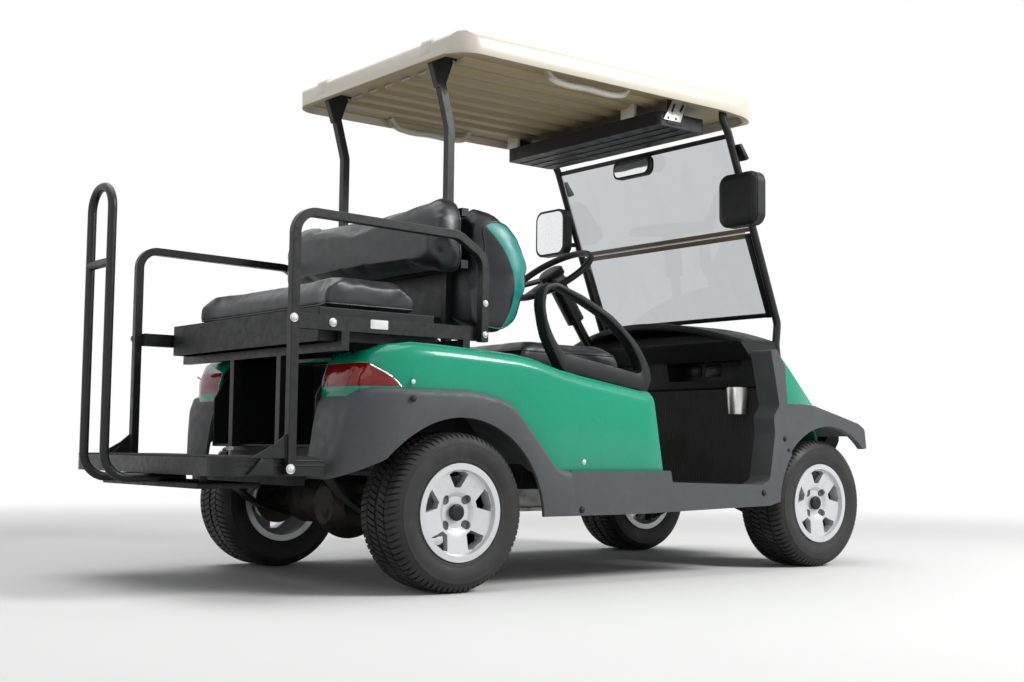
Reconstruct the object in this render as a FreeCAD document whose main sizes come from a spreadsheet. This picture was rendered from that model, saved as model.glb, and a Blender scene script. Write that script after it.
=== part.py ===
import FreeCAD, Part
import math
import os
from types import SimpleNamespace

# Golf cart with a rear-facing flip seat, drawn at its real size in millimetres.
# X runs forward from the rear axle, Y to the left and Z up from the ground.
# Each finished piece is then moved back so that the origin is under the middle of the cart.

V = FreeCAD.Vector
Y_AXIS = V(0, 1, 0)
Z_AXIS = V(0, 0, 1)
HALF_TURN = 180
FULL_TURN = 360

# Driving dimensions: name and value, in millimetres, degrees or a count.
SIZES = (
    ("wheelbase", 1664),
    ("nose_reach", 1995),
    ("tail_reach", 856),
    ("drawn_axle_height", 229.5),
    ("tyre_radius", 229.5),
    ("tyre_width", 205),
    ("tyre_wall", 11),
    ("rear_track", 1034),
    ("front_track", 908),
    ("rim_flange_radius", 141),
    ("rim_bead_radius", 127),
    ("rim_width", 190),
    ("rim_well_radius", 106),
    ("rim_wall", 6),
    ("hub_radius", 62),
    ("hub_bore_radius", 21),
    ("lug_circle_radius", 50.8),
    ("lug_recess_radius", 13.5),
    ("spokes", 5),
    ("lugs", 4),
    ("fit_gap", 0.3),
    ("body_half_width", 585),
    ("flare_half_width", 607),
    ("sill_half_width", 600),
    ("sill_inner", 505),
    ("moulding_wall", 8),
    ("rear_arch_gap", 48),
    ("front_arch_gap", 48),
    ("steer_arch_gap", 92),
    ("floor_top", 300),
    ("floor_thickness", 12),
    ("rail_depth", 84),
    ("rail_width", 50),
    ("rail_centre", 150),
    ("rail_web", 12),
    ("rail_flange", 12),
    ("rear_rail_top", 410),
    ("kingpin_offset", 344),
    ("kingpin_radius", 18),
    ("kingpin_low", 150),
    ("steering_arm_reach", 110),
    ("leaf_thickness", 14),
    ("axle_tube_radius", 34),
    ("differential_radius", 108),
    ("spring_offset", 330),
    ("drum_radius", 80),
    ("seat_box_front", 838),
    ("seat_box_rear", 345),
    ("seat_box_top", 640),
    ("well_half_width", 330),
    ("well_shelf_half", 480),
    ("shoulder_width", 130),
    ("deck_front", 330),
    ("tube", 25),
    ("arm_rail_offset", 520),
    ("arm_rail_top", 1068),
    ("strut_offset", 314),
    ("seat_rail_x", 112),
    ("strut_front_offset", 470),
    ("front_strut_radius", 14),
    ("flip_axis_x", -375),
    ("flip_axis_z", 757),
    ("flip_pin_radius", 6),
    ("platform_front", 386),
    ("rear_beam_depth", 40),
    ("platform_rear", 712),
    ("platform_top", 380),
    ("platform_thickness", 48),
    ("platform_half_width", 505),
    ("grab_bar_offset", 75),
    ("grab_bar_radius", 13),
    ("grab_bar_top", 1160),
    ("roof_half_width", 505),
    ("roof_front", 1345),
    ("roof_lining", 1636),
    ("roof_rear", 45),
    ("roof_edge", 1612),
    ("roof_crown", 1740),
    ("steering_wheel_radius", 178),
    ("steering_wheel_grip", 13),
    ("steering_wheel_x", 1067),
    ("steering_wheel_y", 270),
    ("steering_wheel_z", 1085),
    ("column_lean", 36),
    ("column_radius", 19),
    ("glass_thickness", 5),
    ("lid_hinge_x", 338),
    ("lid_hinge_z", 700),
)

doc = FreeCAD.newDocument("golf_cart")
sheet = doc.addObject("Spreadsheet::Sheet", "dims")
for row, (name, value) in enumerate(SIZES, start=1):
    sheet.set(f"A{row}", name)
    sheet.set(f"B{row}", str(value))
    sheet.setAlias(f"B{row}", name)
doc.recompute()
d = SimpleNamespace(**{name: float(getattr(sheet, name)) for name, _ in SIZES})

# Places worked out from the sheet.
RAIL_TOP = d.floor_top - d.floor_thickness
RAIL_BOTTOM = RAIL_TOP - d.rail_depth
MIDDLE = "(dims.nose_reach - dims.tail_reach) / 2"
RIDE = "dims.tyre_radius - dims.drawn_axle_height"
PARTS = []

# Side outlines, rows of (axle, x from that axle, z, corner radius).
BODY_SIDE = (
    ("rear", -300, 560, 0),
    ("rear", -285, 640, 30),
    ("rear", -150, 718, 60),
    ("rear", 98, 706, 200),
    ("rear", 302, 694, 150),
    ("rear", 403, 661, 120),
    ("rear", 755, 607, 60),
    ("rear", 808, 610, 10),
    ("rear", 858, 350, 6),
    ("rear", 391, 348, 0),
    ("rear", 391, 300, 0),
    ("rear", -300, 300, 0),
)
FLARE_SIDE = (
    ("rear", -352, 283, 10),
    ("rear", -318, 540, 60),
    ("rear", -285, 577, 20),
    ("rear", -106, 580, 0),
    ("rear", 33, 580, 120),
    ("rear", 185, 556, 90),
    ("rear", 280, 456, 90),
    ("rear", 352, 372, 30),
    ("rear", 391, 348, 0),
    ("rear", 420, 348, 0),
    ("rear", 446, 211, 0),
    ("rear", 300, 211, 0),
    ("rear", -200, 283, 0),
)
SILL_SIDE = (
    ("rear", 420.5, 348, 4),
    ("rear", 446.5, 211, 4),
    ("rear", 730, 212, 0),
    ("front", -329, 228, 30),
    ("front", -200, 260, 0),
    ("front", -200, 402, 0),
    ("front", -214, 402, 20),
    ("front", -237, 442, 20),
    ("front", -239, 519, 0),
    ("front", -239, 566, 4),
    ("front", -252, 712, 10),
    ("front", -294, 772, 8),
    ("front", -326, 768, 8),
    ("front", -281, 575, 20),
    ("front", -312, 535, 30),
    ("front", -305, 478, 40),
    ("front", -332, 317, 30),
    ("front", -372, 299, 30),
    ("rear", 1113, 303, 80),
    ("rear", 858, 311, 8),
    ("rear", 852, 348, 8),
)
FENDER_SIDE = (
    ("front", -239, 566, 10),
    ("front", -168, 584, 60),
    ("front", -84, 580, 60),
    ("front", 66, 545, 90),
    ("front", 170, 520, 60),
    ("front", 205, 500, 20),
    ("front", 215, 430, 0),
    ("front", 0, 400, 0),
    ("front", -186, 402, 10),
    ("front", -214, 402, 20),
    ("front", -237, 442, 20),
    ("front", -239, 519, 0),
)
LOOP_SIDE = (
    ("rear", 470, 650, 10),
    ("rear", 366, 775, 40),
    ("rear", 345, 868, 40),
    ("rear", 415, 934, 45),
    ("rear", 560, 905, 120),
    ("rear", 700, 858, 120),
    ("rear", 812, 752, 90),
    ("rear", 856, 650, 40),
    ("rear", 806, 606, 20),
    ("rear", 755, 607, 0),
)
FRONT_BACK_SIDE = (
    ("rear", 163, 760, 10),
    ("rear", 250, 752, 30),
    ("rear", 318, 800, 30),
    ("rear", 362, 905, 60),
    ("rear", 372, 985, 60),
    ("rear", 330, 1070, 90),
    ("rear", 235, 1160, 60),
    ("rear", 163, 1190, 20),
)
DASH_SIDE = (
    ("front", -362, 806, 8),
    ("front", -350, 840, 20),
    ("front", -250, 900, 0),
    ("front", -172, 900, 0),
    ("front", -172, 640, 0),
    ("front", -279, 640, 10),
    ("front", -300, 740, 30),
)
# Cross-sections of the front cowl: (x from the front axle, half width, crown z, shoulder z, base z).
COWL_STATIONS = (
    (-171.7, 492, 886, 776, 575),
    (-70, 486, 872, 690, 560),
    (80, 440, 815, 600, 520),
    (200, 372, 720, 560, 470),
    (290, 300, 590, 500, 430),
)
PLANE_MAP = {
    "XZ": (lambda u, v, w: V(u, w, v), V(0, 1, 0)),
    "XY": (lambda u, v, w: V(u, v, w), V(0, 0, 1)),
    "YZ": (lambda u, v, w: V(w, u, v), V(1, 0, 0)),
}


def anchored(rows):
    """Count each row's x from its own axle; gives (x, z, corner radius)."""
    start = {"rear": 0.0, "front": d.wheelbase}
    return [(start[axle] + x, z, radius) for axle, x, z, radius in rows]


def plain(points, radius=0.0):
    """Give every point of an outline the same corner radius."""
    return [(u, v, radius) for u, v in points]


def outline(points, plane, level):
    """Closed wire through (u, v, corner radius) points, its corners turned into tangent arcs."""
    lift = PLANE_MAP[plane][0]
    ends = []
    count = len(points)
    for index, (u, v, radius) in enumerate(points):
        corner = V(u, v, 0)
        before = V(*points[index - 1][:2], 0) - corner
        after = V(*points[(index + 1) % count][:2], 0) - corner
        half = before.getAngle(after) / 2
        reach = min(before.Length, after.Length) * 0.49
        radius = min(radius, reach * math.tan(half))
        if radius < d.fit_gap or half > math.radians(89.5):
            ends.append((corner, None, corner))
            continue
        tangent = radius / math.tan(half)
        before.normalize()
        after.normalize()
        inward = before + after
        inward.normalize()
        middle = corner + inward * (radius / math.sin(half) - radius)
        ends.append((corner + before * tangent, middle, corner + after * tangent))
    edges = []
    for index, (start, middle, finish) in enumerate(ends):
        if middle is not None:
            arc = [lift(p.x, p.y, level) for p in (start, middle, finish)]
            edges.append(Part.Arc(*arc).toShape())
        following = ends[(index + 1) % count][0]
        if (following - finish).Length > d.fit_gap / 10:
            edges.append(Part.makeLine(lift(finish.x, finish.y, level), lift(following.x, following.y, level)))
    return Part.Wire(edges)


def prism(points, plane, low, high):
    """Solid with the outline's section between two levels of the plane's normal."""
    face = Part.Face(outline(points, plane, low))
    return face.extrude(PLANE_MAP[plane][1] * (high - low))


def block(x, y, z):
    """Box between the low and high ends of three ranges."""
    corner = V(x[0], y[0], z[0])
    return Part.makeBox(x[1] - x[0], y[1] - y[0], z[1] - z[0], corner)


def rod(start, finish, radius):
    """Round bar between two points."""
    way = finish - start
    return Part.makeCylinder(radius, way.Length, start, way)


def bent_path(points, bend):
    """Straight runs joined by tangent arcs."""
    edges = []
    last = points[0]
    for index in range(1, len(points) - 1):
        corner = points[index]
        before = points[index - 1] - corner
        after = points[index + 1] - corner
        half = before.getAngle(after) / 2
        if half > math.radians(89.5):
            continue
        reach = min(before.Length, after.Length) * 0.45
        radius = min(bend, reach * math.tan(half))
        tangent = radius / math.tan(half)
        before.normalize()
        after.normalize()
        inward = before + after
        inward.normalize()
        start = corner + before * tangent
        middle = corner + inward * (radius / math.sin(half) - radius)
        finish = corner + after * tangent
        edges.append(Part.makeLine(last, start))
        edges.append(Part.Arc(start, middle, finish).toShape())
        last = finish
    edges.append(Part.makeLine(last, points[-1]))
    return Part.Wire(edges)


def round_tube(points, bend, radius):
    """Round bar that follows a bent path."""
    path = bent_path(points, bend)
    ring = Part.makeCircle(radius, points[0], points[1] - points[0])
    return path.makePipeShell([Part.Wire([ring])], True, True)


def square_tube(points, bend, side):
    """Square bar that follows a bent path in a plane with constant y."""
    path = bent_path(points, bend)
    way = points[1] - points[0]
    way.normalize()
    across = Y_AXIS * (side / 2)
    up = way.cross(Y_AXIS) * (side / 2)
    corners = [points[0] + a * across + b * up for a, b in ((-1, -1), (1, -1), (1, 1), (-1, 1))]
    return path.makePipeShell([Part.makePolygon(corners + corners[:1])], True, True)


def mirrored(shape):
    """The same shape on the other side of the cart."""
    return shape.mirror(V(0, 0, 0), Y_AXIS)


def pair(shape):
    """Left and right copies that don't touch."""
    return Part.makeCompound([shape, mirrored(shape)])


def fused(shapes):
    """One solid from overlapping pieces."""
    return shapes[0].fuse(shapes[1:]).removeSplitter()


def place(piece, x="0", y="0", z="0"):
    """Bind a piece's place to the sheet, so that the origin is under the cart's middle."""
    piece.setExpression("Placement.Base.x", f"({x}) - {MIDDLE}")
    piece.setExpression("Placement.Base.y", y)
    piece.setExpression("Placement.Base.z", z)
    PARTS.append(piece)


def keep(label, shape):
    """Store a finished shape as a piece of the cart."""
    piece = doc.addObject("Part::Feature", label)
    piece.Label = label
    piece.Shape = shape
    place(piece, z=RIDE)
    return piece


def axle_point(axle):
    """Centre of an axle, at the height that the outlines were drawn for."""
    return V({"rear": 0.0, "front": d.wheelbase}[axle], 0, d.drawn_axle_height)


def arch_bore(axle, gap, low, high):
    """Wheel-arch cylinder between two sideways levels."""
    centre = axle_point(axle)
    return Part.makeCylinder(d.tyre_radius + gap, high - low, V(centre.x, low, centre.z), Y_AXIS)


def build_frame():
    """Ladder frame: two I-section rails with a kick-up over the rear axle, and cross members."""
    kick_front, kick_rear = 336, 215
    tail = d.rear_beam_depth - d.platform_front
    top = [(tail, d.rear_rail_top), (kick_rear, d.rear_rail_top), (kick_front, RAIL_TOP)]
    nose = d.wheelbase + 190
    top.append((nose, RAIL_TOP))
    bottom = [(x, z - d.rail_depth) for x, z in reversed(top)]
    side = plain(top + bottom)
    inner = d.rail_centre - d.rail_width / 2
    outer = d.rail_centre + d.rail_width / 2
    rail = prism(side, "XZ", inner, outer)
    groove_depth = (d.rail_width - d.rail_web) / 2
    flange = d.rail_flange
    groove_top = [(x, z - flange) for x, z in top]
    groove_bottom = [(x, z - d.rail_depth + flange) for x, z in reversed(top)]
    groove = plain(groove_top + groove_bottom)
    rail = rail.cut(prism(groove, "XZ", inner, inner + groove_depth))
    rail = rail.cut(prism(groove, "XZ", outer - groove_depth, outer))
    members = [rail, mirrored(rail)]
    # Cross members: (x, low z, high z, half length)
    low_z, high_z = RAIL_BOTTOM + flange, RAIL_TOP - flange
    rows = (
        (500, low_z, high_z, inner + groove_depth),
        (900, low_z, high_z, inner + groove_depth),
        (1250, low_z, high_z, inner + groove_depth),
        (nose - d.rail_width, low_z, high_z, inner + groove_depth),
    )
    for x, low, high, reach in rows:
        members.append(block((x, x + d.rail_width), (-reach, reach), (low, high)))
    hanger = 345
    for x in (-310, 286):
        low = d.rear_rail_top - d.rail_depth
        members.append(block((x, x + 40), (-hanger, hanger), (low + flange, low + flange + 44)))
    keep("frame", fused(members))


def build_floor():
    """Floor and toe board in one pressing."""
    toe_foot, toe_knee, toe_head = d.wheelbase - 324, d.wheelbase - 286, d.wheelbase - 272
    top = d.floor_top
    skin = d.floor_thickness
    points = [
        (d.seat_box_front + d.fit_gap, top), (toe_foot, top), (toe_knee, 575), (toe_head, 640),
        (toe_head + skin, 640), (toe_knee + skin, 572), (toe_foot + skin, top - skin),
        (d.seat_box_front + d.fit_gap, top - skin),
    ]
    keep("floor_pan", prism(plain(points), "XZ", -d.sill_inner, d.sill_inner))


def build_sills():
    """Rocker mouldings with the front post of the step-in opening."""
    sill = prism(anchored(SILL_SIDE), "XZ", d.sill_inner, d.sill_half_width)
    sill = sill.cut(arch_bore("front", d.front_arch_gap, d.sill_inner - 1, d.sill_half_width + 1))
    keep("sills", pair(sill))


def flare_zone(low, high):
    """The rear flare's side outline as a prism."""
    return prism(anchored(FLARE_SIDE), "XZ", low, high)


def rear_plan(half_width, inset):
    """Plan outline of the tail, its corners well rounded."""
    rear = -352 + inset
    side = half_width - inset
    return [
        (rear, -side + 150, 60), (rear + 130, -side, 160), (900, -side, 0),
        (900, side, 0), (rear + 130, side, 160), (rear, side - 150, 60),
    ]


def build_flares():
    """Wheel-arch mouldings that wrap round the tail's corners."""
    wall = d.moulding_wall
    well = d.well_half_width
    low, high = well, d.flare_half_width
    whole = flare_zone(low, high).common(prism(rear_plan(d.flare_half_width, 0), "XY", 0, 900))
    inside = flare_zone(low - 1, high).common(prism(rear_plan(d.flare_half_width, 3 * wall), "XY", 0, 900))
    inside = inside.common(block((-500, 800), (low - 1, high - 3 * wall), (0, 580 - wall)))
    whole = whole.cut(inside)
    whole = whole.cut(arch_bore("rear", d.rear_arch_gap, low - 1, high + 1))
    keep("rear_flares", pair(largest(whole)))


def largest(shape):
    """The largest solid of a shape that was cut."""
    return max(shape.Solids, key=lambda solid: solid.Volume)


def body_form(inset):
    """Outer form of the painted rear body, drawn in by an inset."""
    side = prism(anchored(BODY_SIDE), "XZ", -d.body_half_width + inset, d.body_half_width - inset)
    side.translate(V(0, 0, -inset))
    plan = prism(rear_plan(d.body_half_width, inset), "XY", 0, 900)
    return side.common(plan)


def build_rear_body():
    """Painted body: two sides, tail corners and the deck behind the seat, as one shell."""
    wall = d.moulding_wall
    shell = body_form(0).cut(body_form(wall))
    half = d.body_half_width
    shell = shell.cut(prism(anchored(FLARE_SIDE), "XZ", -half - 1, half + 1))
    shell = shell.cut(block((300, 900), (-half - 1, half + 1), (200, 348)))
    lid_half = half - d.shoulder_width
    shell = shell.cut(block((d.deck_front, 900), (-lid_half, lid_half), (200, 900)))
    shell = shell.cut(block((800, 900), (-half + wall, half - wall), (200, 900)))
    well = d.well_half_width
    shell = shell.cut(block((-400, 60), (-well, well), (200, 900)))
    shell = shell.cut(block((-240, 60), (-d.well_shelf_half, d.well_shelf_half), (200, 900)))
    lamp = lamp_zone(0)
    shell = shell.cut(lamp).cut(mirrored(lamp))
    keep("rear_body", largest(shell))


def lamp_zone(gap):
    """Room of a tail lamp at the right-hand corner of the tail."""
    points = [(-360, 584, 0), (-360, 650, 0), (-268, 650, 20), (-190, 590, 10), (-200, 584, 0)]
    return prism(points, "XZ", -d.body_half_width - 5, -d.well_half_width - 6 - gap)


def build_tail_lamps():
    """Red lamps that follow the tail's corners."""
    depth = 40
    lamp = body_form(0).cut(body_form(depth)).common(lamp_zone(0))
    keep("tail_lamps", pair(largest(lamp)))


def build_seat_box():
    """Open-topped box under the front seat, which the seat cushion closes."""
    wall = d.floor_thickness
    half = d.body_half_width - d.shoulder_width - d.fit_gap
    outer = block((d.seat_box_rear, d.seat_box_front), (-half, half), (RAIL_TOP, d.seat_box_top))
    inner = block(
        (d.seat_box_rear + wall, d.seat_box_front - wall), (-half + wall, half - wall),
        (d.floor_top, d.seat_box_top + 1),
    )
    keep("seat_box", outer.cut(inner))


def build_battery():
    """Battery pack, one plain block at its real place."""
    pack = doc.addObject("Part::Box", "battery_pack")
    pack.Label = "battery_pack"
    pack.Length, pack.Width, pack.Height = 390, 780, 275
    place(pack, x="400", y="-390", z=f"dims.floor_top + {RIDE}")


def build_bag_well():
    """Tub between the tail's corners, under the flip seat."""
    wall = d.moulding_wall
    half = d.well_half_width
    low = d.rear_rail_top
    rear, front, top = -318, 60 - d.fit_gap, 690
    half -= d.fit_gap
    shelf = d.well_shelf_half - d.fit_gap
    tub = block((rear, front), (-half, half), (low, top))
    tub = tub.fuse(block((-238, front), (-shelf, shelf), (top - wall, top)))
    inner = block((rear - 1, front - wall), (-half + wall, half - wall), (low + wall, top + 1))
    slope = prism(plain([(rear - 1, 560), (rear - 1, 700), (-240, 700)]), "XZ", -half - 1, half + 1)
    keep("bag_well", tub.cut(inner).cut(slope))


def build_rear_bumper():
    """Steel beam across the rail ends, which carries the foot platform."""
    beam = doc.addObject("Part::Box", "rear_bumper")
    beam.Label = "rear_bumper"
    beam.setExpression("Length", "dims.rear_beam_depth")
    beam.setExpression("Width", "2 * dims.well_half_width - 4")
    beam.Height = 80
    place(beam, x="-dims.platform_front", y="-dims.well_half_width + 2", z=f"300 + {RIDE}")


def cowl_form(inset):
    """Loft through the cowl's stations, drawn in by an inset."""
    wires = []
    for x, half, crown, shoulder, base in COWL_STATIONS:
        place_x = d.wheelbase + x
        half -= inset
        points = [V(place_x, -half, base), V(place_x, -half, shoulder - inset)]
        top = Part.Arc(points[1], V(place_x, 0, crown - inset), V(place_x, half, shoulder - inset))
        edges = [
            Part.makeLine(points[0], points[1]), top.toShape(),
            Part.makeLine(V(place_x, half, shoulder - inset), V(place_x, half, base)),
            Part.makeLine(V(place_x, half, base), points[0]),
        ]
        wires.append(Part.Wire(edges))
    return Part.makeLoft(wires, True, False)


def head_lamp_zone(inset):
    """Room of a head lamp, seen from the front."""
    points = [
        (250 + inset, 560 + inset, 30), (400 - inset, 575 + inset, 30),
        (390 - inset, 665 - inset, 30), (262 + inset, 660 - inset, 30),
    ]
    return prism(points, "YZ", d.wheelbase + 60 + inset, d.wheelbase + 400)


def build_cowl():
    """Painted nose as a shell, open below and to the dash."""
    wall = d.moulding_wall
    outer = cowl_form(0)
    inner = cowl_form(wall)
    shell = outer.cut(inner.translated(V(-wall, 0, 0)).common(
        block((0, d.wheelbase + 290 - 2 * wall), (-600, 600), (0, 1000))))
    lamp = head_lamp_zone(0)
    shell = shell.cut(lamp).cut(mirrored(lamp))
    for side in (-1, 1):
        shell = shell.cut(strut_bore(side))
    keep("front_cowl", largest(shell))
    lens = outer.common(head_lamp_zone(d.fit_gap))
    keep("head_lamps", pair(largest(lens)))


def strut_bore(side):
    """Room that a front strut needs through the cowl and the fender."""
    radius = d.front_strut_radius + 1
    return round_tube(strut_path(side), 60, radius)


def build_fenders():
    """Front wheel-arch mouldings."""
    low, high = 300, 590
    whole = prism(anchored(FENDER_SIDE), "XZ", low, high)
    whole = whole.cut(arch_bore("front", d.front_arch_gap, high - 26, high + 1))
    whole = whole.cut(arch_bore("front", d.steer_arch_gap, low - 1, high - 25))
    whole = largest(whole)
    whole = whole.cut(cowl_form(-d.fit_gap))
    whole = whole.cut(strut_bore(1))
    keep("front_fenders", pair(largest(whole)))


def build_front_bumper():
    """Front moulding below the nose, open at the wheels."""
    front = d.nose_reach
    low, high = 250, 520
    plan = [
        (front - 300, -480, 0), (front - 120, -480, 90), (front, -300, 160), (front, 300, 160),
        (front - 120, 480, 90), (front - 300, 480, 0),
    ]
    wall = 3 * d.moulding_wall
    outer = prism(plan, "XY", low, high)
    side = [
        (front - 300, low + 60, 0), (front - 60, low, 60), (front, low + 70, 50),
        (front, low + 130, 60), (front - 40, high - 10, 60), (front - 300, high, 0),
    ]
    outer = outer.common(prism(side, "XZ", -600, 600))
    inner = prism([(x - wall, y * 0.93, r) for x, y, r in plan], "XY", low - 1, high - wall)
    shell = outer.cut(inner)
    wheel_room = arch_bore("front", d.steer_arch_gap, 210, 700)
    shell = shell.cut(wheel_room).cut(mirrored(wheel_room))
    shell = shell.cut(block((0, d.wheelbase + 191), (-176, 176), (0, RAIL_TOP + 1)))
    shell = shell.cut(cowl_form(-d.fit_gap))
    fender = prism(anchored(FENDER_SIDE), "XZ", 300, 590)
    shell = shell.cut(fender).cut(mirrored(fender))
    keep("front_bumper", largest(shell))


def column_line():
    """Middle of the steering wheel and the direction of the column, downwards."""
    lean = math.radians(d.column_lean)
    middle = V(d.steering_wheel_x, d.steering_wheel_y, d.steering_wheel_z)
    return middle, V(math.sin(lean), 0, -math.cos(lean))


def build_dash():
    """Moulded dash with two open pockets, crowned across the cart."""
    half = 488
    body = prism(anchored(DASH_SIDE), "XZ", -half, half)
    crown = Part.Wire([
        Part.Arc(V(0, -half - 1, 800), V(0, 0, 890), V(0, half + 1, 800)).toShape(),
        Part.makePolygon([V(0, half + 1, 800), V(0, half + 1, 500), V(0, -half - 1, 500), V(0, -half - 1, 800)]),
    ])
    body = body.common(Part.Face(crown).extrude(V(3000, 0, 0)))
    back = d.wheelbase - 300
    for low, high in ((60, 440), (-440, -60)):
        body = body.cut(block((back - 60, back + 70), (low, high), (672, 742)))
    middle, down = column_line()
    body = body.cut(rod(middle, middle + down * 900, d.column_radius + 1))
    for side in (-1, 1):
        body = body.cut(strut_bore(side))
    keep("dash", body)


def build_column():
    """Steering column from the wheel's boss down to the toe board."""
    middle, down = column_line()
    tube = rod(middle + down * 44, middle + down * 900, d.column_radius)
    sleeve = rod(middle + down * 60, middle + down * 210, d.column_radius + 16)
    toe_knee, toe_head = d.wheelbase - 286, d.wheelbase - 272
    behind = prism(plain([
        (0, 0), (d.wheelbase - 324, 0), (d.wheelbase - 324, d.floor_top), (toe_knee, 575), (toe_head, 640),
        (toe_head + 300, 1400), (0, 1400)]), "XZ", 0, 600)
    keep("steering_column", fused([tube, sleeve]).common(behind))


def build_steering_wheel():
    """Two-spoke steering wheel with a padded boss."""
    middle, down = column_line()
    grip = d.steering_wheel_grip
    ring = Part.makeTorus(d.steering_wheel_radius - grip, grip, V(0, 0, 0), Z_AXIS)
    boss = Part.makeCone(46, 38, 46, V(0, 0, -44), Z_AXIS)
    reach = d.steering_wheel_radius - d.steering_wheel_grip
    spokes = [ring, boss]
    for turn in (-25, 205, 90 + HALF_TURN):
        angle = math.radians(turn)
        tip = V(reach * math.cos(angle), reach * math.sin(angle), 0)
        spokes.append(rod(V(0, 0, -12), tip, 8))
    for member in spokes:
        member.rotate(V(0, 0, 0), Z_AXIS, -90)
        member.rotate(V(0, 0, 0), Y_AXIS, -d.column_lean)
        member.translate(middle)
    keep("steering_wheel", fused(spokes))


def build_pedals():
    """Brake and accelerator pedals on arms that hang from the toe board."""
    pieces = []
    for y, half in ((300, 45), (180, 35)):
        foot = d.wheelbase - 330
        pad = block((foot - 60, foot - 48), (y - half, y + half), (350, 470))
        pad.rotate(V(foot - 54, y, 410), Y_AXIS, 20)
        arm = rod(V(foot - 45, y, 430), V(foot + 40, y, 500), 9)
        pieces.append(fused([pad, arm]))
    toe_knee = d.wheelbase - 286
    behind = prism(plain([(0, 0), (d.wheelbase - 324, d.floor_top), (toe_knee, 575), (toe_knee, 1400), (0, 1400)]),
                   "XZ", -600, 600)
    keep("pedals", Part.makeCompound([largest(piece.common(behind)) for piece in pieces]))


def build_rear_axle():
    """Rear axle tube with its differential and brake backing plates."""
    centre = axle_point("rear")
    track = d.rear_track / 2
    plate = track - 46
    tube = rod(centre - Y_AXIS * plate, centre + Y_AXIS * plate, d.axle_tube_radius)
    housing = Part.makeSphere(d.differential_radius, centre)
    housing = housing.common(block((-90, 90), (-85, 85), (0, 600)))
    motor = rod(centre + V(20, 84, 10), centre + V(20, 300, 10), 78)
    plates = []
    for side in (-1, 1):
        inner = centre + Y_AXIS * side * (plate - 10)
        plates.append(rod(inner, centre + Y_AXIS * side * plate, d.drum_radius))
        plates.append(rod(inner, centre + Y_AXIS * side * (track + 20), d.hub_bore_radius - d.fit_gap))
    keep("rear_axle", fused([tube, housing, motor] + plates))


def build_rear_suspension():
    """Leaf springs under the axle and upright shock absorbers."""
    centre = axle_point("rear")
    low = centre.z - d.axle_tube_radius - d.fit_gap
    hang = d.rear_rail_top - d.rail_depth + d.rail_flange
    thick = d.leaf_thickness
    y_low, y_high = d.spring_offset - 25, d.spring_offset + 25
    outer = [V(-290, y_low, hang), V(0, y_low, low - thick), V(306, y_low, hang)]
    inner = [p + V(0, 0, thick) for p in outer]
    face = Part.Face(Part.Wire([
        Part.Arc(*outer).toShape(), Part.makeLine(outer[2], inner[2]),
        Part.Arc(*reversed(inner)).toShape(), Part.makeLine(inner[0], outer[0])]))
    leaf = face.extrude(V(0, y_high - y_low, 0))
    leaf = leaf.common(block((-400, 400), (0, 500), (0, hang)))
    keep("rear_suspension", pair(largest(leaf)))


def build_front_suspension():
    """Transverse leaf, lower arms and shock absorbers."""
    centre = axle_point("front")
    pin = d.kingpin_offset
    outer_rail = d.rail_centre + d.rail_width / 2
    leaf = block((centre.x - 30, centre.x + 30), (-pin - 20, pin + 20),
                 (RAIL_TOP, RAIL_TOP + d.leaf_thickness))
    ball_low, ball_high = 126, d.kingpin_low - d.fit_gap
    arm = fused([
        rod(V(centre.x, pin, ball_low), V(centre.x, pin, ball_high), d.kingpin_radius),
        rod(V(centre.x - 90, outer_rail - 2, RAIL_BOTTOM + 20), V(centre.x, pin, ball_low + 11), 11),
        rod(V(centre.x + 90, outer_rail - 2, RAIL_BOTTOM + 20), V(centre.x, pin, ball_low + 11), 11),
    ])
    arm = arm.cut(block((0, 3000), (0, outer_rail), (0, 600)))
    arm = arm.common(block((0, 3000), (0, 600), (0, ball_high)).fuse(block((0, 3000), (0, pin - 40), (0, 600))))
    arm = largest(arm)
    keep("front_suspension", Part.makeCompound([leaf, arm, mirrored(arm)]))


def build_rack():
    """Steering rack across the rails; its rods stop short of the steering arms."""
    x = d.wheelbase - d.steering_arm_reach
    z = RAIL_TOP + 26
    reach = d.kingpin_offset - 82
    housing = rod(V(x, -190, z), V(x, 190, z), 26)
    rods = rod(V(x, -reach, z), V(x, reach, z), 10)
    keep("steering_rack", fused([housing, rods]))


def build_knuckles():
    """Front uprights with their kingpins, spindles and steering arms."""
    centre = axle_point("front")
    pin = d.kingpin_offset
    foot = V(centre.x, pin, d.kingpin_low)
    head = V(centre.x, pin, RAIL_TOP - d.fit_gap)
    hub = d.front_track / 2
    pieces = [
        rod(foot, head, d.kingpin_radius),
        rod(V(centre.x, pin, centre.z), V(centre.x, hub + 20, centre.z), d.hub_bore_radius - d.fit_gap),
        rod(V(centre.x, pin, centre.z), V(centre.x, hub - 46, centre.z), d.hub_bore_radius + 12),
        rod(V(centre.x, hub - 56, centre.z), V(centre.x, hub - 46, centre.z), d.drum_radius),
        block((centre.x - d.steering_arm_reach - 12, centre.x), (pin - 30, pin - 10),
              (RAIL_TOP - 30, RAIL_TOP - 14)),
    ]
    knuckle = fused(pieces)
    keep("knuckle_left", knuckle)
    keep("knuckle_right", mirrored(knuckle))


def sketch_loop(body, name, plane, points):
    """Closed sketch of straight lines on one of the body's own origin planes."""
    sketch = body.newObject("Sketcher::SketchObject", name)
    datum = [f for f in body.Origin.OriginFeatures if f.Role == plane][0]
    sketch.AttachmentSupport = [(datum, "")]
    sketch.MapMode = "FlatFace"
    count = len(points)
    for index in range(count):
        start = V(*points[index], 0)
        finish = V(*points[(index + 1) % count], 0)
        sketch.addGeometry(Part.LineSegment(start, finish), False)
    return sketch


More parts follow.
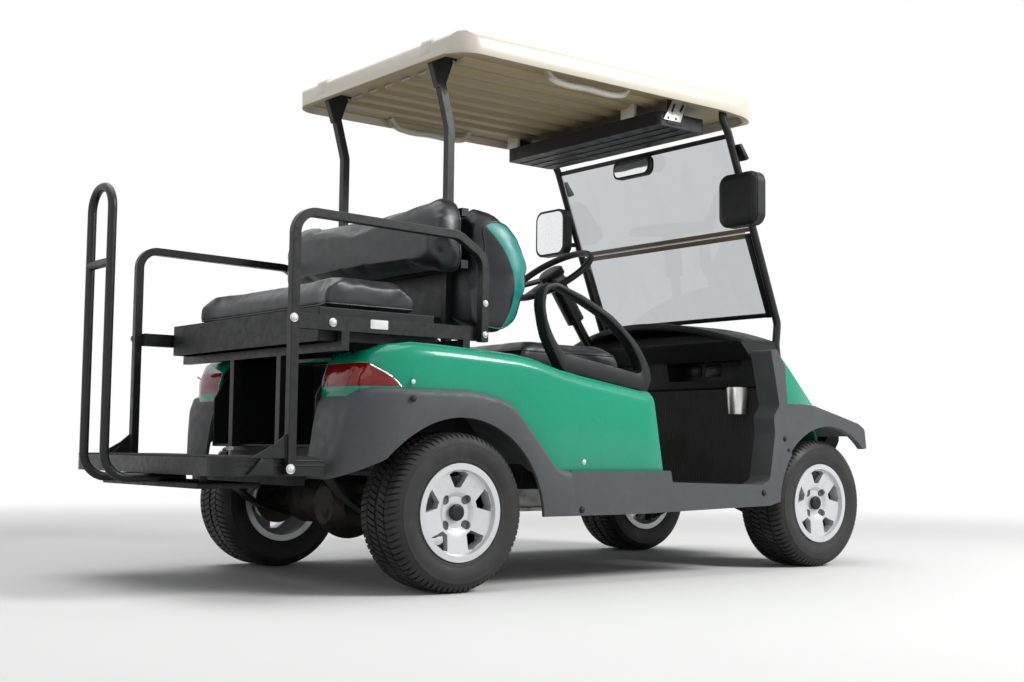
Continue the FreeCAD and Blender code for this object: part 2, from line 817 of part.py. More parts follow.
def build_tyre(label, x, y):
    """Low-profile tyre turned about its axle, hollow over the rim."""
    body = doc.addObject("PartDesign::Body", label)
    body.Label = label
    radius, half, wall = d.tyre_radius, d.tyre_width / 2, d.tyre_wall
    bead, flange = d.rim_bead_radius, d.rim_flange_radius
    seat = d.rim_width / 2 - d.rim_wall
    right = [
        (seat - 20, bead), (seat, bead), (seat, flange + 2), (half - 1, flange + 22),
        (half, (radius + flange) / 2), (half - 6, radius - 26), (half - 16, radius - 9), (half - 34, radius - 2),
    ]
    left = [(-y_side, r) for y_side, r in reversed(right)]
    cavity = [
        (-seat + 20, bead + wall), (-half + wall, (radius + flange) / 2), (-half + wall + 14, radius - wall - 8),
    ]
    cavity += [(-side, r) for side, r in reversed(cavity)]
    points = right + [(0, radius)] + left + cavity
    sketch = sketch_loop(body, label + "_section", "YZ_Plane", points)
    doc.recompute()
    turned = body.newObject("PartDesign::Revolution", label + "_turned")
    turned.Profile = sketch
    turned.ReferenceAxis = (sketch, ["H_Axis"])
    turned.Angle = FULL_TURN
    place(body, x=x, y=y, z="dims.tyre_radius")


def build_rim(label, x, y, outward):
    """Cast wheel: barrel and dished face turned in one, with five windows and four lug recesses."""
    body = doc.addObject("PartDesign::Body", label)
    body.Label = label
    half, wall = d.rim_width / 2, d.rim_wall
    flange, bead, well = d.rim_flange_radius, d.rim_bead_radius, d.rim_well_radius
    seat = half - wall
    profile = [
        (-half, flange), (-seat, flange), (-seat, bead), (-seat + 24, bead), (-30, well), (20, well),
        (seat - 24, bead), (seat, bead), (seat, flange), (half, flange), (half, bead - wall + 2),
        (half - 12, bead - wall - 2), (half - 20, 60), (half - 30, d.hub_radius - 16), (half - 30, d.hub_bore_radius),
        (-44, d.hub_bore_radius), (-44, d.drum_radius - 6), (-14, d.drum_radius - 6), (-14, 52),
        (half - 50, 52), (half - 34, bead - wall - 20), (seat - 30, bead - wall - 6), (26, well - wall),
        (-34, well - wall), (-seat + 20, bead - wall), (-half, bead - wall),
    ]
    points = [(outward * side, r) for side, r in profile]
    sketch = sketch_loop(body, label + "_section", "YZ_Plane", points)
    doc.recompute()
    turned = body.newObject("PartDesign::Revolution", label + "_turned")
    turned.Profile = sketch
    turned.ReferenceAxis = (sketch, ["H_Axis"])
    turned.Angle = FULL_TURN
    doc.recompute()
    # One window: a rounded triangle near the rim's edge, drawn on the wheel's own middle plane.
    window = sketch_loop(body, label + "_window", "XZ_Plane", [
        (-34, bead - wall - 12), (-20, bead - wall - 4), (20, bead - wall - 4), (34, bead - wall - 12),
        (10, bead - wall - 50), (-10, bead - wall - 50),
    ])
    cut_through(body, turned, window, label + "_window_cut", "spokes", outward)
    lug = sketch_circle(body, label + "_lug", d.lug_circle_radius, d.lug_recess_radius)
    cut_through(body, body.Tip, lug, label + "_lug_cut", "lugs", outward)
    place(body, x=x, y=y, z="dims.tyre_radius")


def sketch_circle(body, name, distance, radius):
    """Circle at a distance from the wheel's centre."""
    sketch = body.newObject("Sketcher::SketchObject", name)
    datum = [f for f in body.Origin.OriginFeatures if f.Role == "XZ_Plane"][0]
    sketch.AttachmentSupport = [(datum, "")]
    sketch.MapMode = "FlatFace"
    sketch.addGeometry(Part.Circle(V(distance * 0.7071, distance * 0.7071, 0), V(0, 0, 1), radius), False)
    return sketch


def cut_through(body, base, sketch, name, count_alias, outward):
    """Pocket towards the wheel's outer face, repeated round the axle."""
    pocket = body.newObject("PartDesign::Pocket", name)
    pocket.Profile = sketch
    pocket.Type = 0
    pocket.Length = 200
    # The plane's own normal points to the right, and a pocket cuts against it.
    pocket.Reversed = outward < 0
    doc.recompute()
    ring = body.newObject("PartDesign::PolarPattern", name + "_ring")
    ring.Originals = [pocket]
    ring.Axis = (sketch, ["N_Axis"])
    ring.Angle = FULL_TURN
    ring.setExpression("Occurrences", f"dims.{count_alias}")
    body.Tip = ring
    doc.recompute()
    if ring.Shape.Volume >= base.Shape.Volume - 1:
        raise ValueError(name + " cuts nothing")


def build_wheels():
    """Four wheels, each a tyre and a rim."""
    for axle, x, track in (("rear", "0", "rear_track"), ("front", "dims.wheelbase", "front_track")):
        for side, sign in (("left", 1), ("right", -1)):
            y = f"{sign} * dims.{track} / 2"
            build_tyre(f"tyre_{axle}_{side}", x, y)
            build_rim(f"rim_{axle}_{side}", x, y, sign)


def build_front_seat():
    """Front seat cushion, which lifts as a lid, and its back."""
    cushion = prism([
        (d.lid_hinge_x + 2, d.seat_box_top + d.fit_gap, 4), (d.lid_hinge_x + 2, 735, 30), (400, 752, 60),
        (790, 740, 40), (815, 700, 30), (812, d.seat_box_top + d.fit_gap, 4)], "XZ", -450, 450)
    keep("front_seat_cushion", cushion)
    back = prism(anchored(FRONT_BACK_SIDE), "XZ", -476, 476)
    front_view = prism([
        (-476, 740, 60), (476, 740, 60), (476, 1195, 110), (150, 1195, 60), (0, 1175, 200), (-150, 1195, 60),
        (-476, 1195, 110)], "YZ", 0, 900)
    keep("front_seat_back", back.common(front_view))


def build_rear_seat():
    """Flip seat: pan and cushion turn over on pins in the side bars."""
    pan_half = 472
    pan = block((-399, -6), (-pan_half, pan_half), (706.3, 803))
    pan = pan.cut(block((-391, -14), (-pan_half + 8, pan_half - 8), (700, 795)))
    for side in (-1, 1):
        start = V(d.flip_axis_x, side * (pan_half + 20), d.flip_axis_z)
        pan = pan.cut(rod(start, start - Y_AXIS * side * 60, d.flip_pin_radius + d.fit_gap))
    keep("rear_seat_pan", pan)
    cushion = prism([
        (-358, 803 + d.fit_gap, 20), (-352, 870, 40), (-300, 898, 50), (-70, 890, 50), (-14, 850, 30),
        (-11, 803 + d.fit_gap, 20)], "XZ", -440, 440)
    keep("rear_seat_cushion", cushion)
    rest = d.seat_rail_x - d.fit_gap
    back = prism([
        (rest, 930, 10), (30, 925, 30), (4, 960, 40), (0, 1080, 60), (40, 1175, 40), (85, 1195, 20), (rest, 1190, 6)],
        "XZ", -480, 480)
    front_view = prism([
        (-480, 915, 70), (480, 915, 70), (480, 1198, 100), (170, 1198, 80), (0, 1172, 200), (-170, 1198, 80),
        (-480, 1198, 100)], "YZ", -100, 300)
    keep("rear_seat_back", back.common(front_view))


def build_rear_seat_frame():
    """Welded side bars, cross tubes, posts and hinge pins."""
    tube = d.tube
    outer = d.arm_rail_offset - tube / 2
    inner = outer - tube
    bars = [
        block((-494, 150), (inner, outer), (735, 776)),
        block((-494, 150), (-outer, -inner), (735, 776)),
        block((-345, -345 + tube), (-outer, outer), (706 - tube, 706)),
        block((75, 75 + tube), (-outer, outer), (deck_height(75), 735)),
    ]
    for side in (-1, 1):
        low, high = sorted((side * inner, side * outer))
        bars.append(block((-345, -345 + tube), (low, high), (706 - tube, 736)))
        post_low, post_high = sorted((side * 137.5, side * 162.5))
        bars.append(block((-345, -345 + tube), (post_low, post_high), (d.rear_rail_top, 706)))
        start = V(d.flip_axis_x, side * outer, d.flip_axis_z)
        bars.append(rod(start, start - Y_AXIS * side * (tube + 18), d.flip_pin_radius))
    keep("rear_seat_frame", fused(bars))


def deck_height(x):
    """Top of the painted deck at a place along the cart."""
    (x0, z0), (x1, z1) = [(row[1], row[2]) for row in BODY_SIDE if row[1] in (98, 302)]
    return z0 + (z1 - z0) * (x - x0) / (x1 - x0) + 3


def build_arm_rails():
    """Square-tube arm rails each side of the flip seat, with gussets at their feet."""
    y = d.arm_rail_offset
    top = d.arm_rail_top - d.tube / 2
    points = [V(-505, y, 335), V(-505, y, top), V(40, y, top - 12), V(137, y, 985), V(137, y, 730)]
    rail = square_tube(points, 60, d.tube)
    gusset = prism(plain([(-622, d.platform_top), (-551, 420), (-515, 450), (-515, d.platform_top)]),
                   "XZ", y - 3, y + 3)
    keep("arm_rails", pair(fused([rail, gusset])))


def build_platform():
    """Foot platform with rounded rear corners."""
    half = d.platform_half_width
    plan = [
        (-d.platform_rear, -half, 60), (-d.platform_front, -half, 4),
        (-d.platform_front, half, 4), (-d.platform_rear, half, 60),
    ]
    low = d.platform_top - d.platform_thickness
    deck = prism(plan, "XY", low, d.platform_top)
    inner = prism([(x + (8 if x < -500 else -8), y * 0.984, r) for x, y, r in plan], "XY", low - 1,
                  d.platform_top - 8)
    keep("foot_platform", deck.cut(inner))


def build_grab_bar():
    """Grab bar behind the platform: a round-tube arch with one cross bar."""
    radius = d.grab_bar_radius
    x = -d.tail_reach + radius
    half = d.grab_bar_offset
    low = d.platform_top - d.platform_thickness - radius
    points = [
        V(-600, -half, low), V(x, -half, low), V(x, -half, d.grab_bar_top - radius),
        V(x, half, d.grab_bar_top - radius), V(x, half, low), V(-600, half, low),
    ]
    arch = round_tube(points, 70, radius)
    bar = rod(V(x, -half, 926), V(x, half, 926), radius)
    keep("grab_bar", fused([arch, bar]))


def build_rear_struts():
    """Roof struts with the rails that carry both seat backs."""
    y = d.strut_offset
    top = d.roof_lining
    points = [V(150, y, deck_height(150)), V(150, y, 1420), V(109, y, 1570), V(109, y, top - 2)]
    strut = square_tube(points, 60, d.tube)
    head = block((64, 154), (y - 30, y + 30), (top - 8, top))
    web = prism(plain([(66, top - 8), (152, top - 8), (121, 1540), (97, 1540)]), "XZ", y - 12, y + 12)
    members = []
    for side in (strut, head, web):
        members += [side, mirrored(side)]
    for z in (960, 1120):
        members.append(block((d.seat_rail_x, 138), (-440, 440), (z, z + d.tube)))
    keep("rear_struts", fused(members))


def strut_path(side):
    """Line of a front strut."""
    y = side * d.strut_front_offset
    front = d.wheelbase
    return [
        V(front - 114, y, 560), V(front - 151, y, 800), V(front - 142, y, 880), V(front - 190, y, 1000),
        V(front - 272, y, 1205), V(front - 402, y, 1545), V(front - 432, y, 1590),
        V(front - 432, y, d.roof_lining - d.fit_gap),
    ]


def build_front_struts():
    """Bent round-tube struts that carry the roof and the windscreen."""
    strut = round_tube(strut_path(1), 60, d.front_strut_radius)
    keep("front_struts", pair(strut))


def pane_form(low, high, half, gap):
    """Glass between two points of the strut line, grown by a gap."""
    thick = d.glass_thickness + gap
    side = [(low.x - gap, low.z), (high.x - gap, high.z), (high.x + thick, high.z), (low.x + thick, low.z)]
    return prism(plain(side), "XZ", -half, half)


def build_windscreen():
    """Folding windscreen: two panes between the struts."""
    path = strut_path(1)
    foot, knee, head = path[3], path[4], path[5]
    half = d.strut_front_offset - d.front_strut_radius - d.fit_gap
    seam = V(0, 0, 3)
    panes = [
        pane_form(V(foot.x + 40, 0, 905), knee - seam, half, 0),
        pane_form(knee + seam, head, half, 0),
    ]
    keep("windscreen", Part.makeCompound(panes))


def build_roof():
    """Moulded roof: a crowned outer skin over a recessed lining."""
    half, rear, front = d.roof_half_width, d.roof_rear, d.roof_front
    edge, crown = d.roof_edge, d.roof_crown
    side = [
        (rear, edge, 6), (rear + 8, edge + 66, 20), (rear + 330, crown - 22, 400), (rear + 800, crown, 600),
        (front - 150, crown - 40, 200), (front, edge - 2, 24), (front - 60, edge - 12, 20),
        (front - 220, edge, 40),
    ]
    section = [
        (-half - 1, edge - 50, 0), (-half - 1, edge + 50, 40), (-half + 150, crown - 12, 150), (0, crown + 30, 0),
        (half - 150, crown - 12, 150), (half + 1, edge + 50, 40), (half + 1, edge - 50, 0),
    ]

    plan = [(rear, -half, 90), (front, -half, 100), (front, half, 100), (rear, half, 90)]
    form = prism(plan, "XY", edge - 40, crown + 60)
    form = form.common(prism(side, "XZ", -half - 1, half + 1))
    form = form.common(prism(section, "YZ", 0, 2000))
    lining = d.roof_lining
    inset = 2 * d.moulding_wall
    recess = prism([
        (rear + inset, -half + inset, 70), (front - 3 * inset, -half + inset, 60),
        (front - 3 * inset, half - inset, 60), (rear + inset, half - inset, 70)], "XY", edge - 60, lining)
    keep("roof", form.cut(recess))


def build_tray():
    """Overhead tray under the roof's front, with its hanger plates."""
    tray = prism([(960, -425, 20), (1190, -425, 20), (1190, 425, 20), (960, 425, 20)], "XY", 1540, 1590)
    tray = tray.cut(prism([(968, -417, 14), (1182, -417, 14), (1182, 417, 14), (968, 417, 14)], "XY", 1548, 1591))
    for side in (-1, 1):
        low, high = sorted((side * 425, side * 428))
        hanger = block((1000, 1080), (low, high), (1550, d.roof_lining))
        tray = tray.fuse(hanger)
    keep("overhead_tray", tray.removeSplitter())


def build_mirrors():
    """Cabin mirror under the windscreen's top and a side mirror on each strut."""
    cabin = prism([(-90, 1455, 30), (110, 1455, 30), (110, 1530, 30), (-90, 1530, 30)], "YZ", 1238, 1262)
    path = strut_path(1)
    foot = block((1250, 1320), (-8, 32), (1478, 1508)).cut(pane_form(path[4], path[5], 100, 2 * d.fit_gap))
    foot = min(foot.Solids, key=lambda solid: solid.CenterOfMass.x)
    keep("cabin_mirror", fused([cabin, foot]))
    shell = prism([(428, 1205, 40), (610, 1205, 40), (610, 1395, 40), (428, 1395, 40)], "YZ", 1262, 1300)
    arm = rod(V(1290, 520, 1255), V(d.wheelbase - 300, d.strut_front_offset, 1255), 9)
    strut = round_tube(strut_path(1), 60, d.front_strut_radius + d.fit_gap)
    keep("side_mirrors", pair(largest(fused([shell, arm]).cut(strut))))


def build_hip_restraints():
    """Moulded loops at the ends of the front seat."""
    outer = anchored(LOOP_SIDE)
    inner = [
        (500, 700, 30), (425, 780, 40), (405, 850, 40), (450, 885, 40), (560, 858, 100), (680, 815, 100),
        (770, 735, 70), (795, 665, 30), (760, 645, 30),
    ]
    loop = prism(outer, "XZ", 484, 530).cut(prism(inner, "XZ", 480, 534))
    loop = loop.cut(body_form(0))
    keep("hip_restraints", pair(largest(loop)))


def check_and_write():
    """Test every feature and piece, then write each piece to its own file."""
    doc.recompute()
    for thing in doc.Objects:
        if "Invalid" in thing.State or "Error" in thing.State:
            raise ValueError(f"{thing.Label} failed: {thing.State}")
    os.makedirs("parts", exist_ok=True)
    for piece in PARTS:
        shape = piece.Shape
        if shape.isNull() or not shape.isValid() or not shape.Solids:
            raise ValueError(f"{piece.Label} has no valid solid")
        shape.exportStep(f"parts/{piece.Label}.step")
        print(piece.Label, len(shape.Solids), round(shape.Volume / 1000), "cm3")


build_frame()
build_floor()
build_sills()
build_flares()
build_rear_body()
build_tail_lamps()
build_seat_box()
build_battery()
build_bag_well()
build_rear_bumper()
build_cowl()
build_fenders()
build_front_bumper()
build_dash()
build_column()
build_steering_wheel()
build_pedals()
build_rear_axle()
build_rear_suspension()
build_front_suspension()
build_rack()
build_knuckles()
build_wheels()
build_front_seat()
build_rear_seat()
build_rear_seat_frame()
build_arm_rails()
build_platform()
build_grab_bar()
build_rear_struts()
build_front_struts()
build_windscreen()
build_roof()
build_tray()
build_mirrors()
build_hip_restraints()
check_and_write()
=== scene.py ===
"""Looks of a golf cart with a roof, a folding windscreen and a bench that faces the rear.

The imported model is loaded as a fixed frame. Each class below dresses or adds one group of pieces.
Places are given in millimetres from the start of the cart's outlines: x forward, y left, z up.
"""

import logging
import math
from collections.abc import Callable, Iterator, Sequence
from contextlib import contextmanager
from dataclasses import dataclass, field
from enum import Enum

import bpy
from mathutils import Matrix, Vector
from mathutils.bvhtree import BVHTree


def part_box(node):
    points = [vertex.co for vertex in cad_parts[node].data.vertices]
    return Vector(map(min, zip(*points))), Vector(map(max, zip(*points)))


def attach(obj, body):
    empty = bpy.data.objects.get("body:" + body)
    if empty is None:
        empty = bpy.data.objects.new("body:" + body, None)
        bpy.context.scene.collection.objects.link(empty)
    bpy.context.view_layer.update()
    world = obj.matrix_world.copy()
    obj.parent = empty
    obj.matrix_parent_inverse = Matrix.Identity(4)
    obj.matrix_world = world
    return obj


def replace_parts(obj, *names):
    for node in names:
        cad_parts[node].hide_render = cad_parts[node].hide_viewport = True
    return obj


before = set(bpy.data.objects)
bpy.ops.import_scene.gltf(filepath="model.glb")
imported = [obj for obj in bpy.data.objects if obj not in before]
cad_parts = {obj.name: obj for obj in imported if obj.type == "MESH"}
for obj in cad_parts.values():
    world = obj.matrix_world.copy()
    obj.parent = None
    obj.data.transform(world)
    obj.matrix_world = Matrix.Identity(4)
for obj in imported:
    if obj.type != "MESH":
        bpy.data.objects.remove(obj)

logging.basicConfig(level=logging.INFO, format="%(message)s")
log = logging.getLogger("golf_cart")

Colour = tuple[float, float, float]
Point = tuple[float, float, float]
Pair = tuple[float, float]

MM = 0.001
ORIGIN = Vector((0, 0, 0))
RIGHT, LEFT = -1, 1
SIDES = {"right": RIGHT, "left": LEFT}
CORNERS = tuple(f"{axle}_{side}" for axle in ("rear", "front") for side in SIDES)
TYRE_RADIUS = 229.5  # millimetres, of the drawn tyre
WELD_GAP = 1e-5  # metres, below which two points are one
SHOULDER_STEPS = 8  # faces across a rounded shoulder


def outline_start() -> Vector:
    """Returns the place in the frame, in metres, that the cart's outlines are measured from."""
    low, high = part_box("tyre_rear_left")
    middle = (low + high) / 2
    return Vector((middle.x, 0, middle.z - TYRE_RADIUS * MM))


START = outline_start()


def spot(x: float, y: float, z: float) -> Vector:
    """A place of the cart in the frame's metres.

    Args:
        x: millimetres forward of the outlines' start.
        y: millimetres to the cart's left.
        z: millimetres above the outlines' ground line.

    Returns:
        The same place in metres.
    """
    return START + Vector((x, y, z)) * MM


def mm(x: float, y: float, z: float) -> Vector:
    """A step of some millimetres along each axis, in metres."""
    return Vector((x, y, z)) * MM


SURFACES: dict[str, BVHTree] = {}


def landed(node: str, place: Vector, toward: Vector) -> tuple[Vector, Vector]:
    """Where a straight line first meets a solid of the frame.

    Args:
        node: the solid's name.
        place: where the line starts, in metres.
        toward: the line's direction.

    Returns:
        The place on the solid and the surface's normal, which faces the start.
    """
    if node not in SURFACES:
        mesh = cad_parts[node].data
        SURFACES[node] = BVHTree.FromPolygons([point.co for point in mesh.vertices],
                                              [tuple(face.vertices) for face in mesh.polygons])
    place_on, normal, _, _ = SURFACES[node].ray_cast(place, toward.normalized())
    if place_on is None:
        raise ValueError(f"nothing of {node} lies that way from {place - START}")
    return place_on, (-normal if normal.dot(toward) > 0 else normal)


# ---------------------------------------------------------------- modelling calls


def deselect() -> None:
    """Leaves nothing selected, in object mode."""
    if bpy.context.object is not None and bpy.context.object.mode != "OBJECT":
        bpy.ops.object.mode_set(mode="OBJECT")
    bpy.ops.object.select_all(action="DESELECT")


def hold(piece: bpy.types.Object) -> bpy.types.Object:
    """Makes one piece the only selected and active one.

    Args:
        piece: the object to work on.

    Returns:
        The same object.
    """
    deselect()
    piece.select_set(True)
    bpy.context.view_layer.objects.active = piece
    return piece


def fresh(name: str) -> bpy.types.Object:
    """Names the object that was just added.

    Args:
        name: the piece's name.

    Returns:
        The new object.
    """
    piece = bpy.context.object
    piece.name = name
    piece.data.name = name
    return piece


def settle(piece: bpy.types.Object) -> bpy.types.Object:
    """Puts a piece's place, turn and size into its mesh.

    Args:
        piece: the object to settle.

    Returns:
        The same object, at the origin.
    """
    hold(piece)
    bpy.ops.object.transform_apply(location=True, rotation=True, scale=True)
    return piece


def choose(piece: bpy.types.Object, kind: str, test: Callable[..., bool]) -> None:
    """Selects a piece's faces or points, and leaves the piece in edit mode.

    Args:
        piece: the object to edit.
        kind: FACE or VERT.
        test: tells from a face's middle and normal, or from a point's place, whether it is wanted.
    """
    hold(piece)
    bpy.ops.object.mode_set(mode="EDIT")
    bpy.ops.mesh.select_mode(type=kind)
    bpy.ops.mesh.select_all(action="DESELECT")
    bpy.ops.object.mode_set(mode="OBJECT")
    if kind == "FACE":
        for face in piece.data.polygons:
            face.select = test(face.center, face.normal)
    else:
        for point in piece.data.vertices:
            point.select = test(point.co)
    bpy.ops.object.mode_set(mode="EDIT")


def done() -> None:
    """Leaves edit mode."""
    bpy.ops.object.mode_set(mode="OBJECT")


@contextmanager
def editing(piece: bpy.types.Object) -> Iterator[None]:
    """Edit mode on one piece with all of it selected, and object mode again afterwards."""
    hold(piece)
    bpy.ops.object.mode_set(mode="EDIT")
    bpy.ops.mesh.select_all(action="SELECT")
    yield
    done()


def outward(piece: bpy.types.Object) -> bpy.types.Object:
    """Turns all faces of a piece in edit mode outwards, leaves edit mode and returns the piece."""
    bpy.ops.mesh.select_all(action="SELECT")
    bpy.ops.mesh.normals_make_consistent(inside=False)
    done()
    return piece


def rolled(angle: float, centre: Vector) -> None:
    """Turns what is selected about a wheel's axle, by an angle in radians."""
    bpy.ops.transform.rotate(value=angle, orient_axis="Y", orient_type="GLOBAL", center_override=centre)


def pulled(step: Vector) -> None:
    """Extrudes what is selected by a step in metres."""
    bpy.ops.mesh.extrude_region_move(TRANSFORM_OT_translate={"value": step})


def worked(piece: bpy.types.Object, kind: str, **settings: object) -> bpy.types.Object:
    """Adds one modifier and applies it.

    Args:
        piece: the object to change.
        kind: the modifier's type.
        **settings: the modifier's values.

    Returns:
        The same object.
    """
    hold(piece)
    modifier = piece.modifiers.new(kind.title(), kind)
    for key, value in settings.items():
        setattr(modifier, key, value)
    bpy.ops.object.modifier_apply(modifier=modifier.name)
    return piece


def eased(piece: bpy.types.Object, width: float, segments: int = 2, angle: float = 35) -> bpy.types.Object:
    """Rounds a piece's sharp edges and shades it smooth.

    Args:
        piece: the object to round.
        width: the rounding's width in millimetres.
        segments: faces across the rounding.
        angle: edges sharper than this many degrees are rounded.

    Returns:
        The same object.
    """
    worked(piece, "BEVEL", width=width * MM, segments=segments, limit_method="ANGLE",
           angle_limit=math.radians(angle), use_clamp_overlap=True)
    return smooth(piece, 40)


def smooth(piece: bpy.types.Object, angle: float = 40) -> bpy.types.Object:
    """Shades a piece smooth except over edges sharper than an angle in degrees, and returns it."""
    hold(piece)
    bpy.ops.object.shade_smooth_by_angle(angle=math.radians(angle))
    return piece


def joined(pieces: Sequence[bpy.types.Object], name: str) -> bpy.types.Object:
    """Joins several settled pieces into one.

    Args:
        pieces: the objects to join.
        name: the name of the whole.

    Returns:
        The joined object.
    """
    deselect()
    for piece in pieces:
        piece.select_set(True)
    bpy.context.view_layer.objects.active = pieces[0]
    if len(pieces) > 1:
        bpy.ops.object.join()
    return fresh(name)


def copied(piece: bpy.types.Object, name: str, move: Matrix) -> bpy.types.Object:
    """Copies a settled piece, with a mesh of its own, to another place.

    Args:
        piece: the object to copy.
        name: the copy's name.
        move: where the copy goes, as a matrix on the mesh.

    Returns:
        The copy, at the origin.
    """
    twin = piece.copy()
    twin.data = piece.data.copy()
    twin.name = twin.data.name = name
    bpy.context.scene.collection.objects.link(twin)
    twin.data.transform(move)
    if move.determinant() < 0:
        with editing(twin):
            bpy.ops.mesh.flip_normals()
    return twin


def drawn_line(points: Sequence[Vector], name: str) -> bpy.types.Object:
    """A chain of edges, drawn by pulling one point from place to place.

    Args:
        points: the places in metres.
        name: the name of the chain.

    Returns:
        The object, in edit mode, with its last point selected.
    """
    deselect()
    bpy.ops.mesh.primitive_plane_add(size=0.01, location=points[0])
    line = fresh(name)
    settle(line)
    bpy.ops.object.mode_set(mode="EDIT")
    bpy.ops.mesh.select_mode(type="VERT")
    bpy.ops.mesh.select_all(action="SELECT")
    bpy.ops.mesh.merge(type="CENTER")
    for start, stop in zip(points, points[1:]):
        pulled(stop - start)
    return line


def closed_face(points: Sequence[Vector], name: str) -> bpy.types.Object:
    """A flat face drawn round its corners, left selected in edit mode.

    Args:
        points: the corners in metres.
        name: the name of the face.

    Returns:
        The object.
    """
    line = drawn_line(points, name)
    bpy.ops.mesh.select_all(action="SELECT")
    bpy.ops.mesh.edge_face_add()
    return line


def plate(points: Sequence[Vector], thickness: Vector, name: str, round_by: float = 1.0) -> bpy.types.Object:
    """A plate pulled from a drawn outline, with eased edges.

    Args:
        points: the outline's corners in metres.
        thickness: how far the face is pulled, in metres.
        name: the plate's name.
        round_by: width of the eased edges, in millimetres.

    Returns:
        The plate, in object mode.
    """
    piece = closed_face(points, name)
    pulled(thickness)
    return eased(outward(piece), round_by)


def turned(profile: Sequence[Pair], centre: Vector, steps: int, name: str, shut: bool) -> bpy.types.Object:
    """A form turned about the wheel axle's direction, y.

    Args:
        profile: rows of (y from the centre, radius) in millimetres.
        centre: middle of the turning, in metres.
        steps: faces round the form.
        name: the form's name.
        shut: whether the profile's last point runs back to its first.

    Returns:
        The form, in object mode, with its normals pointing out.
    """
    points = [centre + mm(0, side, radius) for side, radius in profile]
    line = drawn_line(points, name)
    if shut:
        bpy.ops.mesh.select_all(action="SELECT")
        bpy.ops.mesh.edge_face_add()
        bpy.ops.mesh.delete(type="ONLY_FACE")
    bpy.ops.mesh.select_all(action="SELECT")
    bpy.ops.mesh.spin(steps=steps, angle=2 * math.pi, center=centre, axis=(0, 1, 0))
    bpy.ops.mesh.select_all(action="SELECT")
    bpy.ops.mesh.remove_doubles(threshold=2 * WELD_GAP)
    return outward(line)


def pipe(points: Sequence[Vector], radius: float, name: str, shut: bool = False, sides: int = 6) -> bpy.types.Object:
    """A round cord, rod or seam along points.

    Args:
        points: the middle line in metres.
        radius: half its thickness, in millimetres.
        name: the piece's name.
        shut: whether the line runs back to its start.
        sides: how finely it is rounded.

    Returns:
        The piece as a mesh, at the origin.
    """
    deselect()
    bpy.ops.curve.primitive_bezier_curve_add()
    curve = fresh(name)
    curve.data.splines.clear()
    spline = curve.data.splines.new("BEZIER")
    spline.bezier_points.add(len(points) - 1)
    for knot, place in zip(spline.bezier_points, points):
        knot.co = place
        knot.handle_left_type = knot.handle_right_type = "AUTO"
    spline.use_cyclic_u = shut
    curve.data.dimensions = "3D"
    curve.data.resolution_u = 4
    curve.data.bevel_depth = radius * MM
    curve.data.bevel_resolution = max(1, sides // 2 - 1)
    curve.data.use_fill_caps = not shut
    curve.matrix_world = Matrix.Identity(4)
    hold(curve)
    bpy.ops.object.convert(target="MESH")
    return smooth(bpy.context.object, 60)


def slab(x: Pair, y: Pair, z: Pair, name: str, round_by: float = 1.0) -> bpy.types.Object:
    """A squared block with eased edges, pulled up from its lower face.

    Args:
        x: its limits along the cart, in millimetres.
        y: its limits across the cart.
        z: its limits in height.
        name: the block's name.
        round_by: width of the eased edges, in millimetres.

    Returns:
        The block, in object mode.
    """
    corners = [spot(x[0], y[0], z[0]), spot(x[1], y[0], z[0]), spot(x[1], y[1], z[0]), spot(x[0], y[1], z[0])]
    return plate(corners, mm(0, 0, z[1] - z[0]), name, round_by)


def rounded(first: Pair, second: Pair, radius: float, place: Callable[[float, float], Vector]) -> list[Vector]:
    """Corners of a rounded rectangle.

    Args:
        first: its limits along its first direction, in millimetres.
        second: its limits along its second direction.
        radius: radius of its corners.
        place: gives a place in metres from the two directions' values.

    Returns:
        The outline's places in order.
    """
    outline = []
    for number, (one, two) in enumerate(((1, 1), (0, 1), (0, 0), (1, 0))):
        centre = (first[one] + (radius if one == 0 else -radius), second[two] + (radius if two == 0 else -radius))
        for step in range(7):
            angle = math.radians(90 * number + 15 * step)
            outline.append(place(centre[0] + radius * math.cos(angle), centre[1] + radius * math.sin(angle)))
    return outline


def filleted(corners: Sequence[Point]) -> list[Pair]:
    """An outline whose corners are rounded, each by its own radius.

    Args:
        corners: rows of (first place, second place, radius) in millimetres, in order round the outline.

    Returns:
        The outline's places in order.
    """
    outline = []
    for number, (first, second, radius) in enumerate(corners):
        here = Vector((first, second))
        back = Vector(corners[number - 1][:2]) - here
        on = Vector(corners[(number + 1) % len(corners)][:2]) - here
        if radius <= 0:
            outline.append((first, second))
            continue
        half = back.angle(on) / 2
        cut = min(radius / math.tan(half), 0.49 * back.length, 0.49 * on.length)
        radius = cut * math.tan(half)
        centre = here + (back.normalized() + on.normalized()).normalized() * radius / math.sin(half)
        start, stop = here + back.normalized() * cut - centre, here + on.normalized() * cut - centre
        turn = math.atan2(start.x * stop.y - start.y * stop.x, start.dot(stop))
        steps = max(2, math.ceil(abs(turn) / math.radians(11)))
        first_angle = math.atan2(start.y, start.x)
        for step in range(steps + 1):
            angle = first_angle + turn * step / steps
            outline.append((centre.x + radius * math.cos(angle), centre.y + radius * math.sin(angle)))
    return outline


def prism(corners: Sequence[Point], plane: str, low: float, high: float, name: str) -> bpy.types.Object:
    """A block pulled from a rounded outline, square to one plane of the cart.

    Args:
        corners: the outline, as filleted takes it.
        plane: "XZ", "XY" or "YZ".
        low: where it starts along the third direction, in millimetres.
        high: where it stops.
        name: the block's name.

    Returns:
        The block, in object mode.
    """
    put = {"XZ": lambda a, b, c: spot(a, c, b), "XY": spot, "YZ": lambda a, b, c: spot(c, a, b)}[plane]
    piece = closed_face([put(first, second, low) for first, second in filleted(corners)], name)
    pulled(put(0, 0, high) - put(0, 0, low))
    return outward(piece)


